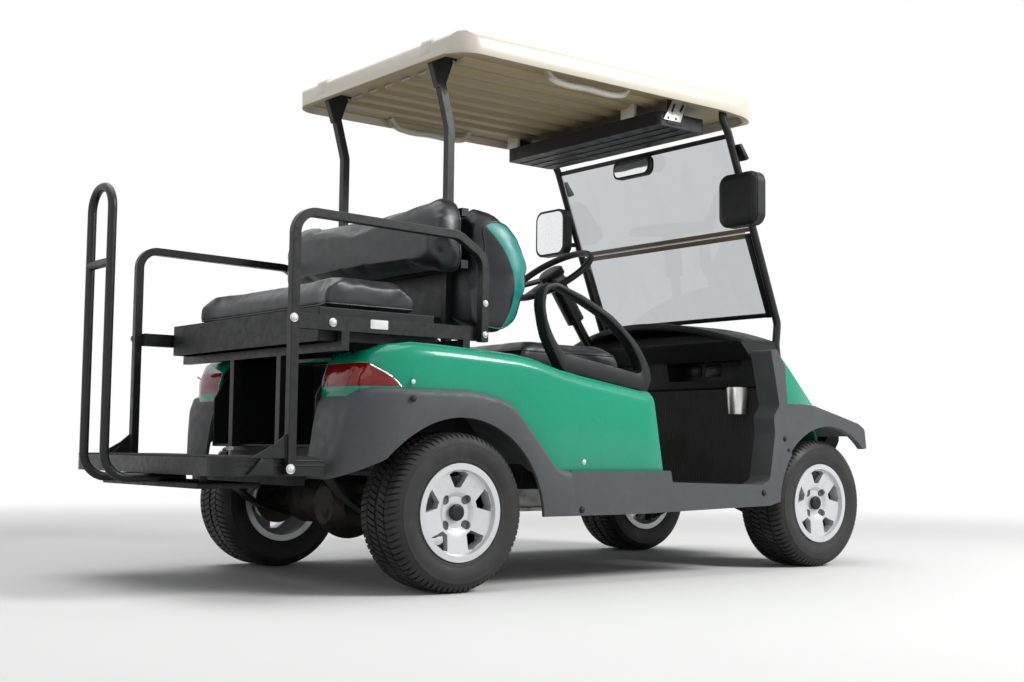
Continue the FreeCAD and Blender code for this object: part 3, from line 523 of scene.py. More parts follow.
def block(x: Pair, y: Pair, z: Pair) -> bpy.types.Object:
    """A squared cutting block between limits along, across and up, in millimetres."""
    return prism([(x[0], z[0], 0), (x[1], z[0], 0), (x[1], z[1], 0), (x[0], z[1], 0)], "XZ", y[0], y[1], "block")


def carved(piece: bpy.types.Object, tool: bpy.types.Object, kind: str = "DIFFERENCE") -> bpy.types.Object:
    """Cuts, keeps or joins a piece by a tool, and removes the tool.

    Args:
        piece: the piece to change.
        tool: the other closed form.
        kind: DIFFERENCE, INTERSECT or UNION.

    Returns:
        The changed piece.
    """
    worked(piece, "BOOLEAN", object=tool, operation=kind, solver="EXACT")
    bpy.data.objects.remove(tool)
    return piece


def skin(rows: Sequence[Sequence[Vector]], thickness: float, name: str) -> bpy.types.Object:
    """A moulded sheet laid over rows of places, and thickened inwards.

    Args:
        rows: the places, row by row, as many in each.
        thickness: the sheet's thickness in millimetres.
        name: its name.

    Returns:
        The sheet.
    """
    deselect()
    across = len(rows[0])
    bpy.ops.mesh.primitive_grid_add(x_subdivisions=across - 1, y_subdivisions=len(rows) - 1, size=1)
    sheet = fresh(name)
    for number, point in enumerate(sheet.data.vertices):
        point.co = rows[number // across][number % across]
    with editing(sheet):
        bpy.ops.mesh.remove_doubles(threshold=WELD_GAP)
        bpy.ops.mesh.normals_make_consistent(inside=False)
    top = max(sheet.data.polygons, key=lambda face: face.center.z)
    if top.normal.z < 0:
        with editing(sheet):
            bpy.ops.mesh.flip_normals()
    return worked(sheet, "SOLIDIFY", thickness=thickness * MM, offset=-1, use_even_offset=True)


def drum(sides: int, radius: float, height: float, name: str, place: Vector = ORIGIN,
         lying: bool = False) -> bpy.types.Object:
    """A cylinder to work on.

    Args:
        sides: faces round it.
        radius: its radius in millimetres.
        height: its height in millimetres.
        name: its name.
        place: its middle, in metres.
        lying: whether it lies along the wheels' axles instead of standing.

    Returns:
        The cylinder, settled.
    """
    deselect()
    bpy.ops.mesh.primitive_cylinder_add(vertices=sides, radius=radius * MM, depth=height * MM, location=place,
                                        rotation=(math.pi / 2 if lying else 0, 0, 0))
    return settle(fresh(name))


def both_sides(piece: bpy.types.Object) -> bpy.types.Object:
    """Adds a piece's mirror image across the cart, joined to it.

    Args:
        piece: a settled piece on one side.

    Returns:
        The pair as one object of the same name.
    """
    name = piece.name
    twin = copied(piece, name + "_twin", Matrix.Diagonal((1, -1, 1, 1)))
    return joined([piece, twin], name)


# ---------------------------------------------------------------- finishes


def seen_rays(tree: bpy.types.NodeTree) -> bpy.types.NodeSocket:
    """Light path share of the rays that show the backdrop: camera, glossy and transmission rays."""
    path = tree.nodes.new("ShaderNodeLightPath")
    total = path.outputs["Is Camera Ray"]
    for name in ("Is Glossy Ray", "Is Transmission Ray"):
        node = tree.nodes.new("ShaderNodeMath")
        node.operation = "MAXIMUM"
        tree.links.new(total, node.inputs[0])
        tree.links.new(path.outputs[name], node.inputs[1])
        total = node.outputs[0]
    return total


class Sheet:
    """Node tree of one finish, with short calls for the nodes that the finishes share."""

    def __init__(self, name: str) -> None:
        """Starts a material of that name with one surface shader."""
        self.material = bpy.data.materials.new(name)
        self.material.use_nodes = True
        self.tree = self.material.node_tree
        self.surface = self.tree.nodes["Principled BSDF"]
        self.place = self.tree.nodes.new("ShaderNodeTexCoord").outputs["Object"]

    def set(self, **values: object) -> None:
        """Writes constants on the surface shader's own sockets, named with underscores for spaces."""
        for key, value in values.items():
            socket = self.surface.inputs[key.replace("_", " ")]
            socket.default_value = (*value, 1) if isinstance(value, tuple) else value

    def feed(self, socket: str, source: bpy.types.NodeSocket) -> None:
        """Links a source to one of the surface shader's sockets."""
        self.tree.links.new(source, self.surface.inputs[socket])

    def stretched(self, size: Point) -> bpy.types.NodeSocket:
        """The place on the piece, stretched by a factor along each axis."""
        node = self.tree.nodes.new("ShaderNodeMapping")
        node.inputs["Scale"].default_value = size
        self.tree.links.new(self.place, node.inputs["Vector"])
        return node.outputs["Vector"]

    def noise(self, scale: float, detail: float = 3, rough: float = 0.55,
              size: Point = (1, 1, 1)) -> bpy.types.NodeSocket:
        """Cloudy noise of a scale per metre; returns its value from 0 to 1."""
        node = self.tree.nodes.new("ShaderNodeTexNoise")
        node.inputs["Scale"].default_value = scale
        node.inputs["Detail"].default_value = detail
        node.inputs["Roughness"].default_value = rough
        self.tree.links.new(self.stretched(size), node.inputs["Vector"])
        return node.outputs["Fac"]

    def cells(self, scale: float, feature: str = "F1", size: Point = (1, 1, 1)) -> bpy.types.NodeSocket:
        """Cells of a scale per metre; returns the distance to a cell's middle or edge."""
        node = self.tree.nodes.new("ShaderNodeTexVoronoi")
        node.feature = feature
        node.inputs["Scale"].default_value = scale
        self.tree.links.new(self.stretched(size), node.inputs["Vector"])
        return node.outputs["Distance"]

    def waves(self, scale: float, distortion: float, axis: str) -> bpy.types.NodeSocket:
        """Bands of a scale per metre across one axis, bent by a distortion."""
        node = self.tree.nodes.new("ShaderNodeTexWave")
        node.bands_direction = axis
        node.inputs["Scale"].default_value = scale
        node.inputs["Distortion"].default_value = distortion
        self.tree.links.new(self.place, node.inputs["Vector"])
        return node.outputs["Fac"]

    def part_of(self, source: bpy.types.NodeSocket, axis: str) -> bpy.types.NodeSocket:
        """One of a vector's three numbers."""
        node = self.tree.nodes.new("ShaderNodeSeparateXYZ")
        self.tree.links.new(source, node.inputs[0])
        return node.outputs[axis]

    def reach(self) -> bpy.types.NodeSocket:
        """How far a place lies from the origin, in metres."""
        node = self.tree.nodes.new("ShaderNodeVectorMath")
        node.operation = "LENGTH"
        self.tree.links.new(self.place, node.inputs[0])
        return node.outputs["Value"]

    def facing(self, axis: str) -> bpy.types.NodeSocket:
        """How far the surface faces along an axis of the cart, from -1 to 1."""
        return self.part_of(self.tree.nodes.new("ShaderNodeNewGeometry").outputs["Normal"], axis)

    def ranged(self, source: bpy.types.NodeSocket, start: Pair, stop: Pair) -> bpy.types.NodeSocket:
        """Maps a value smoothly from one pair of limits to another, and clamps it."""
        node = self.tree.nodes.new("ShaderNodeMapRange")
        node.interpolation_type = "SMOOTHSTEP"
        for index, value in enumerate((*start, *stop), start=1):
            node.inputs[index].default_value = value
        self.tree.links.new(source, node.inputs[0])
        return node.outputs[0]

    def maths(self, kind: str, first: bpy.types.NodeSocket, second: object) -> bpy.types.NodeSocket:
        """One sum of two values, the second of which may be a number."""
        node = self.tree.nodes.new("ShaderNodeMath")
        node.operation = kind
        self.tree.links.new(first, node.inputs[0])
        if isinstance(second, (int, float)):
            node.inputs[1].default_value = second
        else:
            self.tree.links.new(second, node.inputs[1])
        return node.outputs[0]

    def mixed(self, share: bpy.types.NodeSocket, first: object, second: object) -> bpy.types.NodeSocket:
        """Two colours mixed by a share; each is a plain colour or a source."""
        node = self.tree.nodes.new("ShaderNodeMix")
        node.data_type = "RGBA"
        self.tree.links.new(share, node.inputs["Factor"])
        for socket, value in ((node.inputs[6], first), (node.inputs[7], second)):
            if isinstance(value, tuple):
                socket.default_value = (*value, 1)
            else:
                self.tree.links.new(value, socket)
        return node.outputs[2]

    def bump(self, height: bpy.types.NodeSocket, strength: float, depth: float,
             below: bpy.types.NodeSocket | None = None) -> bpy.types.NodeSocket:
        """A bump of a depth in millimetres, laid over an earlier one; returns its normal."""
        node = self.tree.nodes.new("ShaderNodeBump")
        node.inputs["Strength"].default_value = strength
        node.inputs["Distance"].default_value = depth * MM
        self.tree.links.new(height, node.inputs["Height"])
        if below is not None:
            self.tree.links.new(below, node.inputs["Normal"])
        return node.outputs["Normal"]


@dataclass(frozen=True)
class Finish:
    """A finish of the cart: its record slot, colour and how rough it is."""

    name: str
    slot: str
    colour: Colour
    roughness: float = 0.5

    def shade(self, factor: float) -> Colour:
        """The finish's colour, darker or lighter by a factor."""
        red, green, blue = (min(1.0, part * factor) for part in self.colour)
        return (red, green, blue)

    def lay(self, sheet: Sheet) -> None:
        """Fills the node tree; each kind of finish has its own way."""
        cloud = sheet.noise(9, 4)
        sheet.feed("Base Color", sheet.mixed(cloud, self.shade(0.9), self.shade(1.1)))
        self.vary(sheet, sheet.noise(40), 0.85, 1.15)

    def vary(self, sheet: Sheet, source: bpy.types.NodeSocket, low: float, high: float) -> None:
        """Lets the roughness follow a source between two factors."""
        span = (self.roughness * low, self.roughness * high)
        sheet.feed("Roughness", sheet.ranged(source, (0.3, 0.7), span))

    def material(self) -> bpy.types.Material:
        """Returns the finish as a material, made once."""
        found = bpy.data.materials.get(self.name)
        if found is not None:
            return found
        sheet = Sheet(self.name)
        self.lay(sheet)
        return sheet.material


@dataclass(frozen=True)
class GlossPaint(Finish):
    """Body enamel under a clear coat: faint metal grain, soft waviness and dust low down."""

    dust: Colour = (0.20, 0.22, 0.18)

    def lay(self, sheet: Sheet) -> None:
        """Fills the node tree."""
        flake = sheet.ranged(sheet.noise(900, 2), (0.45, 0.75), (0.0, 0.22))
        base = sheet.mixed(sheet.noise(3, 2), self.shade(0.93), self.shade(1.06))
        base = sheet.mixed(flake, base, self.shade(1.25))
        height = sheet.part_of(sheet.place, "Z")
        grime = sheet.maths("MULTIPLY", sheet.ranged(height, (0.30, 0.52), (0.14, 0.0)), sheet.noise(22, 5))
        sheet.feed("Base Color", sheet.mixed(grime, base, self.dust))
        self.vary(sheet, sheet.noise(14, 4), 0.8, 1.3)
        sheet.set(Specular_IOR_Level=0.2, Coat_Weight=0.4, Coat_Roughness=0.09)
        ripple = sheet.bump(sheet.noise(14, 1), 0.25, 0.8)
        sheet.feed("Normal", sheet.bump(sheet.noise(420, 2), 0.25, 0.06, ripple))


@dataclass(frozen=True)
class Moulding(Finish):
    """Moulded plastic: leathery grain, weathered chalky patches, upward faces lightened as a painted top light, and
    fine scratches.
    """

    grain: float = 420
    depth: float = 0.25
    chalk_and_top_light: float = 0.35
    scratch: float = 0.15

    def lay(self, sheet: Sheet) -> None:
        """Fills the node tree."""
        cloud = sheet.noise(5, 5, 0.6)
        # Upward faces are lightened by how far they face up: painted top light, laid in with the chalky patches.
        lift = sheet.ranged(sheet.facing("Z"), (0.0, 1.0), (0.0, self.chalk_and_top_light))
        worn = sheet.maths("ADD", sheet.ranged(cloud, (0.45, 0.72), (0.0, self.chalk_and_top_light)), lift)
        base = sheet.mixed(sheet.noise(60, 3), self.shade(0.86), self.shade(1.12))
        base = sheet.mixed(worn, base, self.shade(1.55))
        scratches = sheet.ranged(sheet.noise(26, 3, 0.5, (1, 1, 14)), (0.66, 0.72), (0.0, self.scratch))
        sheet.feed("Base Color", sheet.mixed(scratches, base, self.shade(1.9)))
        self.vary(sheet, sheet.noise(30, 4), 0.82, 1.15)
        sheet.set(Specular_IOR_Level=0.3)
        pebble = sheet.bump(sheet.cells(self.grain), 0.55, self.depth)
        sheet.feed("Normal", sheet.bump(sheet.noise(60, 2), 0.2, 0.3, pebble))


@dataclass(frozen=True)
class RoofPlastic(Finish):
    """Pale moulded roof: smooth and glossy above; beneath, matt, with its cream darkened and yellowed as painted shade.
    """

    # Colours beneath: the same cream plastic darkened and yellowed as painted shade; the stain colour is darker still,
    # for patches.
    lining: Colour = (0.34, 0.27, 0.15)
    stain: Colour = (0.20, 0.155, 0.075)
    lining_from: Pair = (1.598, 1.606)  # metres above the ground line

    def lay(self, sheet: Sheet) -> None:
        """Fills the node tree."""
        under = sheet.ranged(sheet.facing("Z"), (-0.05, -0.6), (0.0, 1.0))
        height = sheet.part_of(sheet.place, "Z")
        rim, inner = (START.z + level for level in self.lining_from)
        inside = sheet.maths("MULTIPLY", under, sheet.ranged(height, (rim, inner), (0.0, 1.0)))
        above = sheet.mixed(sheet.noise(4, 5), self.shade(0.95), self.shade(1.02))
        stain = sheet.ranged(sheet.noise(7, 6, 0.65, (0.5, 1.6, 1)), (0.5, 0.8), (0.0, 0.35))
        # Painted shade: the underside takes the darker lining colour, with stain patches.
        below = sheet.mixed(stain, self.lining, self.stain)
        sheet.feed("Base Color", sheet.mixed(inside, above, below))
        sheet.feed("Roughness", sheet.ranged(inside, (0, 1), (self.roughness, 0.6)))
        grain = sheet.bump(sheet.cells(260), 0.25, 0.12)
        sheet.feed("Normal", sheet.bump(sheet.noise(9, 2), 0.25, 1.2, grain))


@dataclass(frozen=True)
class CoatedSteel(Finish):
    """Satin powder coat on steel tube, with orange peel, dust and small bright chips."""

    chip: Colour = (0.35, 0.34, 0.33)

    def lay(self, sheet: Sheet) -> None:
        """Fills the node tree."""
        base = sheet.mixed(sheet.noise(18, 4), self.shade(0.8), self.shade(1.25))
        dust = sheet.maths("MULTIPLY", sheet.ranged(sheet.facing("Z"), (0.2, 1.0), (0.0, 0.5)), sheet.noise(35, 5))
        base = sheet.mixed(dust, base, (0.05, 0.05, 0.05))
        chips = sheet.ranged(sheet.noise(75, 4, 0.7), (0.74, 0.77), (0.0, 0.8))
        sheet.feed("Base Color", sheet.mixed(chips, base, self.chip))
        self.vary(sheet, sheet.noise(50, 3), 0.8, 1.25)
        sheet.set(Specular_IOR_Level=0.35)
        sheet.feed("Normal", sheet.bump(sheet.noise(330, 2), 0.35, 0.12))


@dataclass(frozen=True)
class BareMetal(Finish):
    """Bare or plated metal with brushed streaks, dull patches and dirt."""

    streak: Point = (1, 12, 12)
    dirt: float = 0.35

    def lay(self, sheet: Sheet) -> None:
        """Fills the node tree."""
        patch = sheet.ranged(sheet.noise(16, 5, 0.62), (0.42, 0.75), (0.0, self.dirt))
        base = sheet.mixed(sheet.noise(120, 2, 0.5, self.streak), self.shade(0.85), self.shade(1.1))
        sheet.feed("Base Color", sheet.mixed(patch, base, self.shade(0.35)))
        dulled = (self.roughness, min(1.0, self.roughness * 1.7))
        sheet.feed("Roughness", sheet.ranged(patch, (0.0, self.dirt + 0.01), dulled))
        sheet.set(Metallic=0.9)
        sheet.feed("Normal", sheet.bump(sheet.noise(240, 2, 0.5, self.streak), 0.25, 0.08))


@dataclass(frozen=True)
class Vinyl(Finish):
    """Seat vinyl: leather grain, creases that follow the padding and a dull sheen."""

    crease: float = 0.35

    def lay(self, sheet: Sheet) -> None:
        """Fills the node tree."""
        cloud = sheet.noise(6, 4)
        base = self.hue(sheet, cloud)
        rub = sheet.ranged(sheet.facing("Z"), (0.3, 1.0), (0.0, 0.25))
        sheet.feed("Base Color", sheet.mixed(sheet.maths("MULTIPLY", rub, cloud), base, self.shade(2.2)))
        self.vary(sheet, sheet.noise(28, 4), 0.85, 1.2)
        sheet.set(Specular_IOR_Level=0.5, Sheen_Weight=0.08, Sheen_Roughness=0.4)
        folds = sheet.bump(sheet.noise(7, 3, 0.5, (1.0, 0.45, 1.0)), self.crease, 5)
        hide = sheet.bump(sheet.cells(520, "DISTANCE_TO_EDGE"), 0.4, 0.2, folds)
        sheet.feed("Normal", sheet.bump(sheet.noise(900, 2), 0.2, 0.08, hide))

    def hue(self, sheet: Sheet, cloud: bpy.types.NodeSocket) -> bpy.types.NodeSocket:
        """The vinyl's own colour, clouded a little."""
        return sheet.mixed(cloud, self.shade(0.82), self.shade(1.2))


@dataclass(frozen=True)
class PanelledVinyl(Vinyl):
    """Seat vinyl of the front back, whose end panels have a second colour."""

    panel: Colour = (0.001, 0.235, 0.205)
    # Where the end panels start: metres across, then the rear edge's place and height at its foremost point.
    inner: float = 0.4445
    rear: float = 0.291
    middle: float = 0.900
    # How far the rear edge runs back, in metres for each square metre above or below that height.
    bow: float = 2.36

    def hue(self, sheet: Sheet, cloud: bpy.types.NodeSocket) -> bpy.types.NodeSocket:
        """The main colour, and the second one outside the sewn edge and ahead of the bowed rear edge."""
        sideways = sheet.maths("ABSOLUTE", sheet.part_of(sheet.place, "Y"), 0)
        beyond = sheet.ranged(sideways, (self.inner, self.inner + 0.0012), (0.0, 1.0))
        off = sheet.maths("SUBTRACT", sheet.part_of(sheet.place, "Z"), START.z + self.middle)
        ahead = sheet.maths("SUBTRACT", sheet.part_of(sheet.place, "X"), START.x + self.rear)
        depth = sheet.maths("ADD", ahead, sheet.maths("MULTIPLY", sheet.maths("MULTIPLY", off, off), self.bow))
        share = sheet.maths("MULTIPLY", beyond, sheet.ranged(depth, (0.0, 0.0015), (0.0, 1.0)))
        dark, light = (tuple(part * factor for part in self.panel) for factor in (0.85, 1.2))
        panel = sheet.mixed(cloud, dark, light)
        return sheet.mixed(share, super().hue(sheet, cloud), panel)


@dataclass(frozen=True)
class Rubber(Finish):
    """Tyre rubber with road dust on its high parts and faint ageing."""

    dust: Colour = (0.075, 0.074, 0.071)

    def lay(self, sheet: Sheet) -> None:
        """Fills the node tree."""
        cloud = sheet.noise(12, 6, 0.65)
        base = sheet.mixed(sheet.noise(150, 3), self.shade(0.8), self.shade(1.2))
        sheet.feed("Base Color", sheet.mixed(sheet.ranged(cloud, (0.42, 0.78), (0.04, 0.5)), base, self.dust))
        self.vary(sheet, cloud, 0.8, 1.2)
        sheet.set(Specular_IOR_Level=0.4)
        sheet.feed("Normal", sheet.bump(sheet.noise(520, 3), 0.3, 0.15))


@dataclass(frozen=True)
class WheelPaint(Finish):
    """Silver wheel enamel with brake dust and a fine cast texture."""

    def lay(self, sheet: Sheet) -> None:
        """Fills the node tree."""
        dust = sheet.ranged(sheet.noise(24, 5, 0.65), (0.52, 0.82), (0.0, 0.4))
        base = sheet.mixed(sheet.noise(700, 2), self.shade(0.94), self.shade(1.05))
        sheet.feed("Base Color", sheet.mixed(dust, base, (0.33, 0.31, 0.29)))
        sheet.feed("Roughness", sheet.ranged(dust, (0.0, 0.4), (self.roughness, 0.6)))
        sheet.set(Metallic=0.35, Coat_Weight=0.25, Coat_Roughness=0.2)
        sheet.feed("Normal", sheet.bump(sheet.noise(300, 2), 0.2, 0.08))


@dataclass(frozen=True)
class Pane(Finish):
    """Clear or tinted sheet or lens, with a faint haze of dust and wipe marks."""

    haze: float = 0.05
    facets: float = 0.0
    through: float = 1.0
    index: float = 1.49

    def lay(self, sheet: Sheet) -> None:
        """Fills the node tree."""
        film = sheet.ranged(sheet.noise(5, 6, 0.6, (1, 3, 1)), (0.45, 0.8), (0.0, 1.0))
        sheet.feed("Base Color", sheet.mixed(film, self.shade(1.0), self.shade(0.96)))
        sheet.feed("Roughness", sheet.ranged(film, (0.0, 1.0), (self.roughness, self.roughness + self.haze)))
        sheet.set(Transmission_Weight=self.through, IOR=self.index)
        if self.facets:
            sheet.feed("Normal", sheet.bump(sheet.cells(self.facets), 0.35, 1.2))


@dataclass(frozen=True)
class RibbedMat(Finish):
    """Rubber floor mat with raised ribs along the cart, worn and dusty."""

    ribs: float = 24

    def lay(self, sheet: Sheet) -> None:
        """Fills the node tree."""
        dust = sheet.ranged(sheet.noise(11, 6, 0.6), (0.4, 0.8), (0.0, 0.7))
        sheet.feed("Base Color", sheet.mixed(dust, self.shade(1.0), (0.035, 0.033, 0.03)))
        sheet.feed("Roughness", sheet.ranged(dust, (0.0, 0.7), (self.roughness, 0.9)))
        grain = sheet.bump(sheet.noise(300), 0.2, 0.2)
        sheet.feed("Normal", sheet.bump(sheet.waves(self.ribs, 0, "Y"), 0.6, 2.0, grain))


class Coat(Enum):
    """The cart's finishes, by the name of what they are on."""

    BODY = GlossPaint("body_enamel", "green_paint", (0.0005, 0.30, 0.172), 0.26)
    FLARE = Moulding("grained_grey_plastic", "grey_moulding", (0.075, 0.082, 0.083), 0.55)
    DARK = Moulding("grained_black_plastic", "black_moulding", (0.008, 0.0085, 0.0095), 0.5, chalk_and_top_light=0.12, scratch=0.05)
    ROOF = RoofPlastic("roof_gel", "roof_plastic", (0.64, 0.60, 0.51), 0.3)
    STEEL = CoatedSteel("satin_black_coat", "black_steel", (0.008, 0.0085, 0.009), 0.36)
    ALLOY = BareMetal("frame_alloy_extrusion", "frame_alloy", (0.40, 0.40, 0.39), 0.5)
    ZINC = BareMetal("zinc_plate", "frame_alloy", (0.72, 0.72, 0.70), 0.3, dirt=0.2)
    IRON = BareMetal("axle_iron_scale", "axle_iron", (0.05, 0.047, 0.043), 0.6, dirt=0.5)
    SEAT = Vinyl("black_seat_vinyl", "seat_vinyl", (0.006, 0.0075, 0.0105), 0.36)
    PANELLED = PanelledVinyl("black_and_teal_seat_vinyl", "seat_vinyl", (0.006, 0.0075, 0.0105), 0.36)
    TREAD = Rubber("tread_rubber", "tyre_rubber", (0.011, 0.011, 0.011), 0.62)
    WHEEL = WheelPaint("silver_wheel_enamel", "wheel_alloy", (0.60, 0.61, 0.62), 0.34)
    LUG = CoatedSteel("grey_lug_paint", "wheel_alloy", (0.09, 0.09, 0.095), 0.5)
    GLASS = Pane("smoked_acrylic", "tinted_glass", (0.56, 0.58, 0.585), 0.02, haze=0.04)
    FOLD = Moulding("fold_strip_plastic", "tinted_glass", (0.17, 0.135, 0.085), 0.35, chalk_and_top_light=0.1, scratch=0.3)
    MIRROR = BareMetal("mirror_silver", "mirror_glass", (0.88, 0.89, 0.90), 0.03, streak=(1, 1, 1), dirt=0.0)
    RED = Pane("red_lens_plastic", "red_lens", (0.30, 0.002, 0.003), 0.1, facets=70, through=0.15)
    LENS = Pane("clear_lens_plastic", "clear_lens", (0.86, 0.88, 0.88), 0.04, facets=90, through=0.75)
    MAT = RibbedMat("ribbed_floor_mat", "floor_rubber", (0.009, 0.009, 0.0095), 0.75)
    BATTERY = Moulding("battery_case_plastic", "battery_case", (0.04, 0.026, 0.016), 0.5, chalk_and_top_light=0.2)
    BLANK = Moulding("blank_plate_plastic", "roof_plastic", (0.74, 0.75, 0.75), 0.35, grain=900, depth=0.05, chalk_and_top_light=0.05)
    STRIP = Moulding("pale_grey_plastic", "grey_moulding", (0.30, 0.31, 0.315), 0.45, grain=900, depth=0.08, chalk_and_top_light=0.1)


def dress(piece: bpy.types.Object, *coats: Coat) -> bpy.types.Object:
    """Gives a piece its finishes, in the order of its material slots.

    Args:
        piece: the object to finish.
        *coats: one finish for each material slot.

    Returns:
        The same object.
    """
    piece.data.materials.clear()
    for coat in coats:
        piece.data.materials.append(coat.value.material())
    return piece


def mount(piece: bpy.types.Object, body: str, *coats: Coat) -> bpy.types.Object:
    """Finishes a new piece, fixes it to a body of the frame and reports it.

    Args:
        piece: the finished object.
        body: the body that it moves with.
        *coats: its finishes.

    Returns:
        The same object.
    """
    dress(settle(piece), *coats)
    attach(piece, body)
    log.info("%s: %d faces on %s", piece.name, len(piece.data.polygons), body)
    return piece


def fixed(piece: bpy.types.Object, coat: Coat) -> bpy.types.Object:
    """Finishes a new piece, fixes it to the chassis and returns it."""
    return mount(piece, "chassis", coat)


# ---------------------------------------------------------------- the carried-over solids


@dataclass
class Shells:
    """Finishes and eased edges of the solids that keep their shape."""

    dressing: dict[str, tuple[Coat, float]] = field(default_factory=lambda: {
        # Finish and width of the eased edges, in millimetres.
        "frame": (Coat.ALLOY, 1.5), "floor_pan": (Coat.MAT, 2), "sills": (Coat.FLARE, 1.5),
        "seat_box": (Coat.DARK, 2), "battery_pack": (Coat.BATTERY, 2), "bag_well": (Coat.DARK, 2),
        "rear_bumper": (Coat.DARK, 3), "front_cowl": (Coat.BODY, 2), "head_lamps": (Coat.LENS, 1.5),
        "front_fenders": (Coat.FLARE, 1.5), "front_bumper": (Coat.DARK, 3), "dash": (Coat.DARK, 2),
        "steering_column": (Coat.STEEL, 1), "pedals": (Coat.STEEL, 1), "rear_axle": (Coat.IRON, 2),
        "rear_suspension": (Coat.STEEL, 1), "front_suspension": (Coat.STEEL, 1), "steering_rack": (Coat.IRON, 1),
        "rear_seat_frame": (Coat.STEEL, 1.5), "arm_rails": (Coat.STEEL, 2), "foot_platform": (Coat.STEEL, 2),
        "grab_bar": (Coat.STEEL, 1), "rear_struts": (Coat.STEEL, 1.5), "front_struts": (Coat.STEEL, 1),
        "windscreen": (Coat.GLASS, 0), "overhead_tray": (Coat.DARK, 1), "cabin_mirror": (Coat.DARK, 2),
        "side_mirrors": (Coat.DARK, 4), "steering_wheel": (Coat.DARK, 1), "rear_seat_pan": (Coat.DARK, 3),
        "knuckle_left": (Coat.IRON, 1), "knuckle_right": (Coat.IRON, 1),
        **{f"rim_{corner}": (Coat.WHEEL, 1.2) for corner in CORNERS},
    })

    def build(self) -> None:
        """Finishes every solid and lays live rounding on its edges."""
        for node, (coat, width) in self.dressing.items():
            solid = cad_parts[node]
            dress(solid, coat)
            if width:
                self.round_off(solid, width)
            log.info("%s: %s", node, coat.value.name)

    def round_off(self, solid: bpy.types.Object, width: float) -> None:
        """Welds a solid's loose faces, bevels its sharp edges and evens its shading.

        Args:
            solid: the frame's object.
            width: the bevel's width in millimetres.
        """
        weld = solid.modifiers.new("Weld", "WELD")
        weld.merge_threshold = WELD_GAP
        bevel = solid.modifiers.new("Bevel", "BEVEL")
        bevel.width = width * MM
        bevel.segments = 2
        bevel.limit_method = "ANGLE"
        bevel.angle_limit = math.radians(32)
        bevel.use_clamp_overlap = True
        even = solid.modifiers.new("Even", "WEIGHTED_NORMAL")
        even.keep_sharp = True
        even.weight = 60


# ---------------------------------------------------------------- moulded bodywork


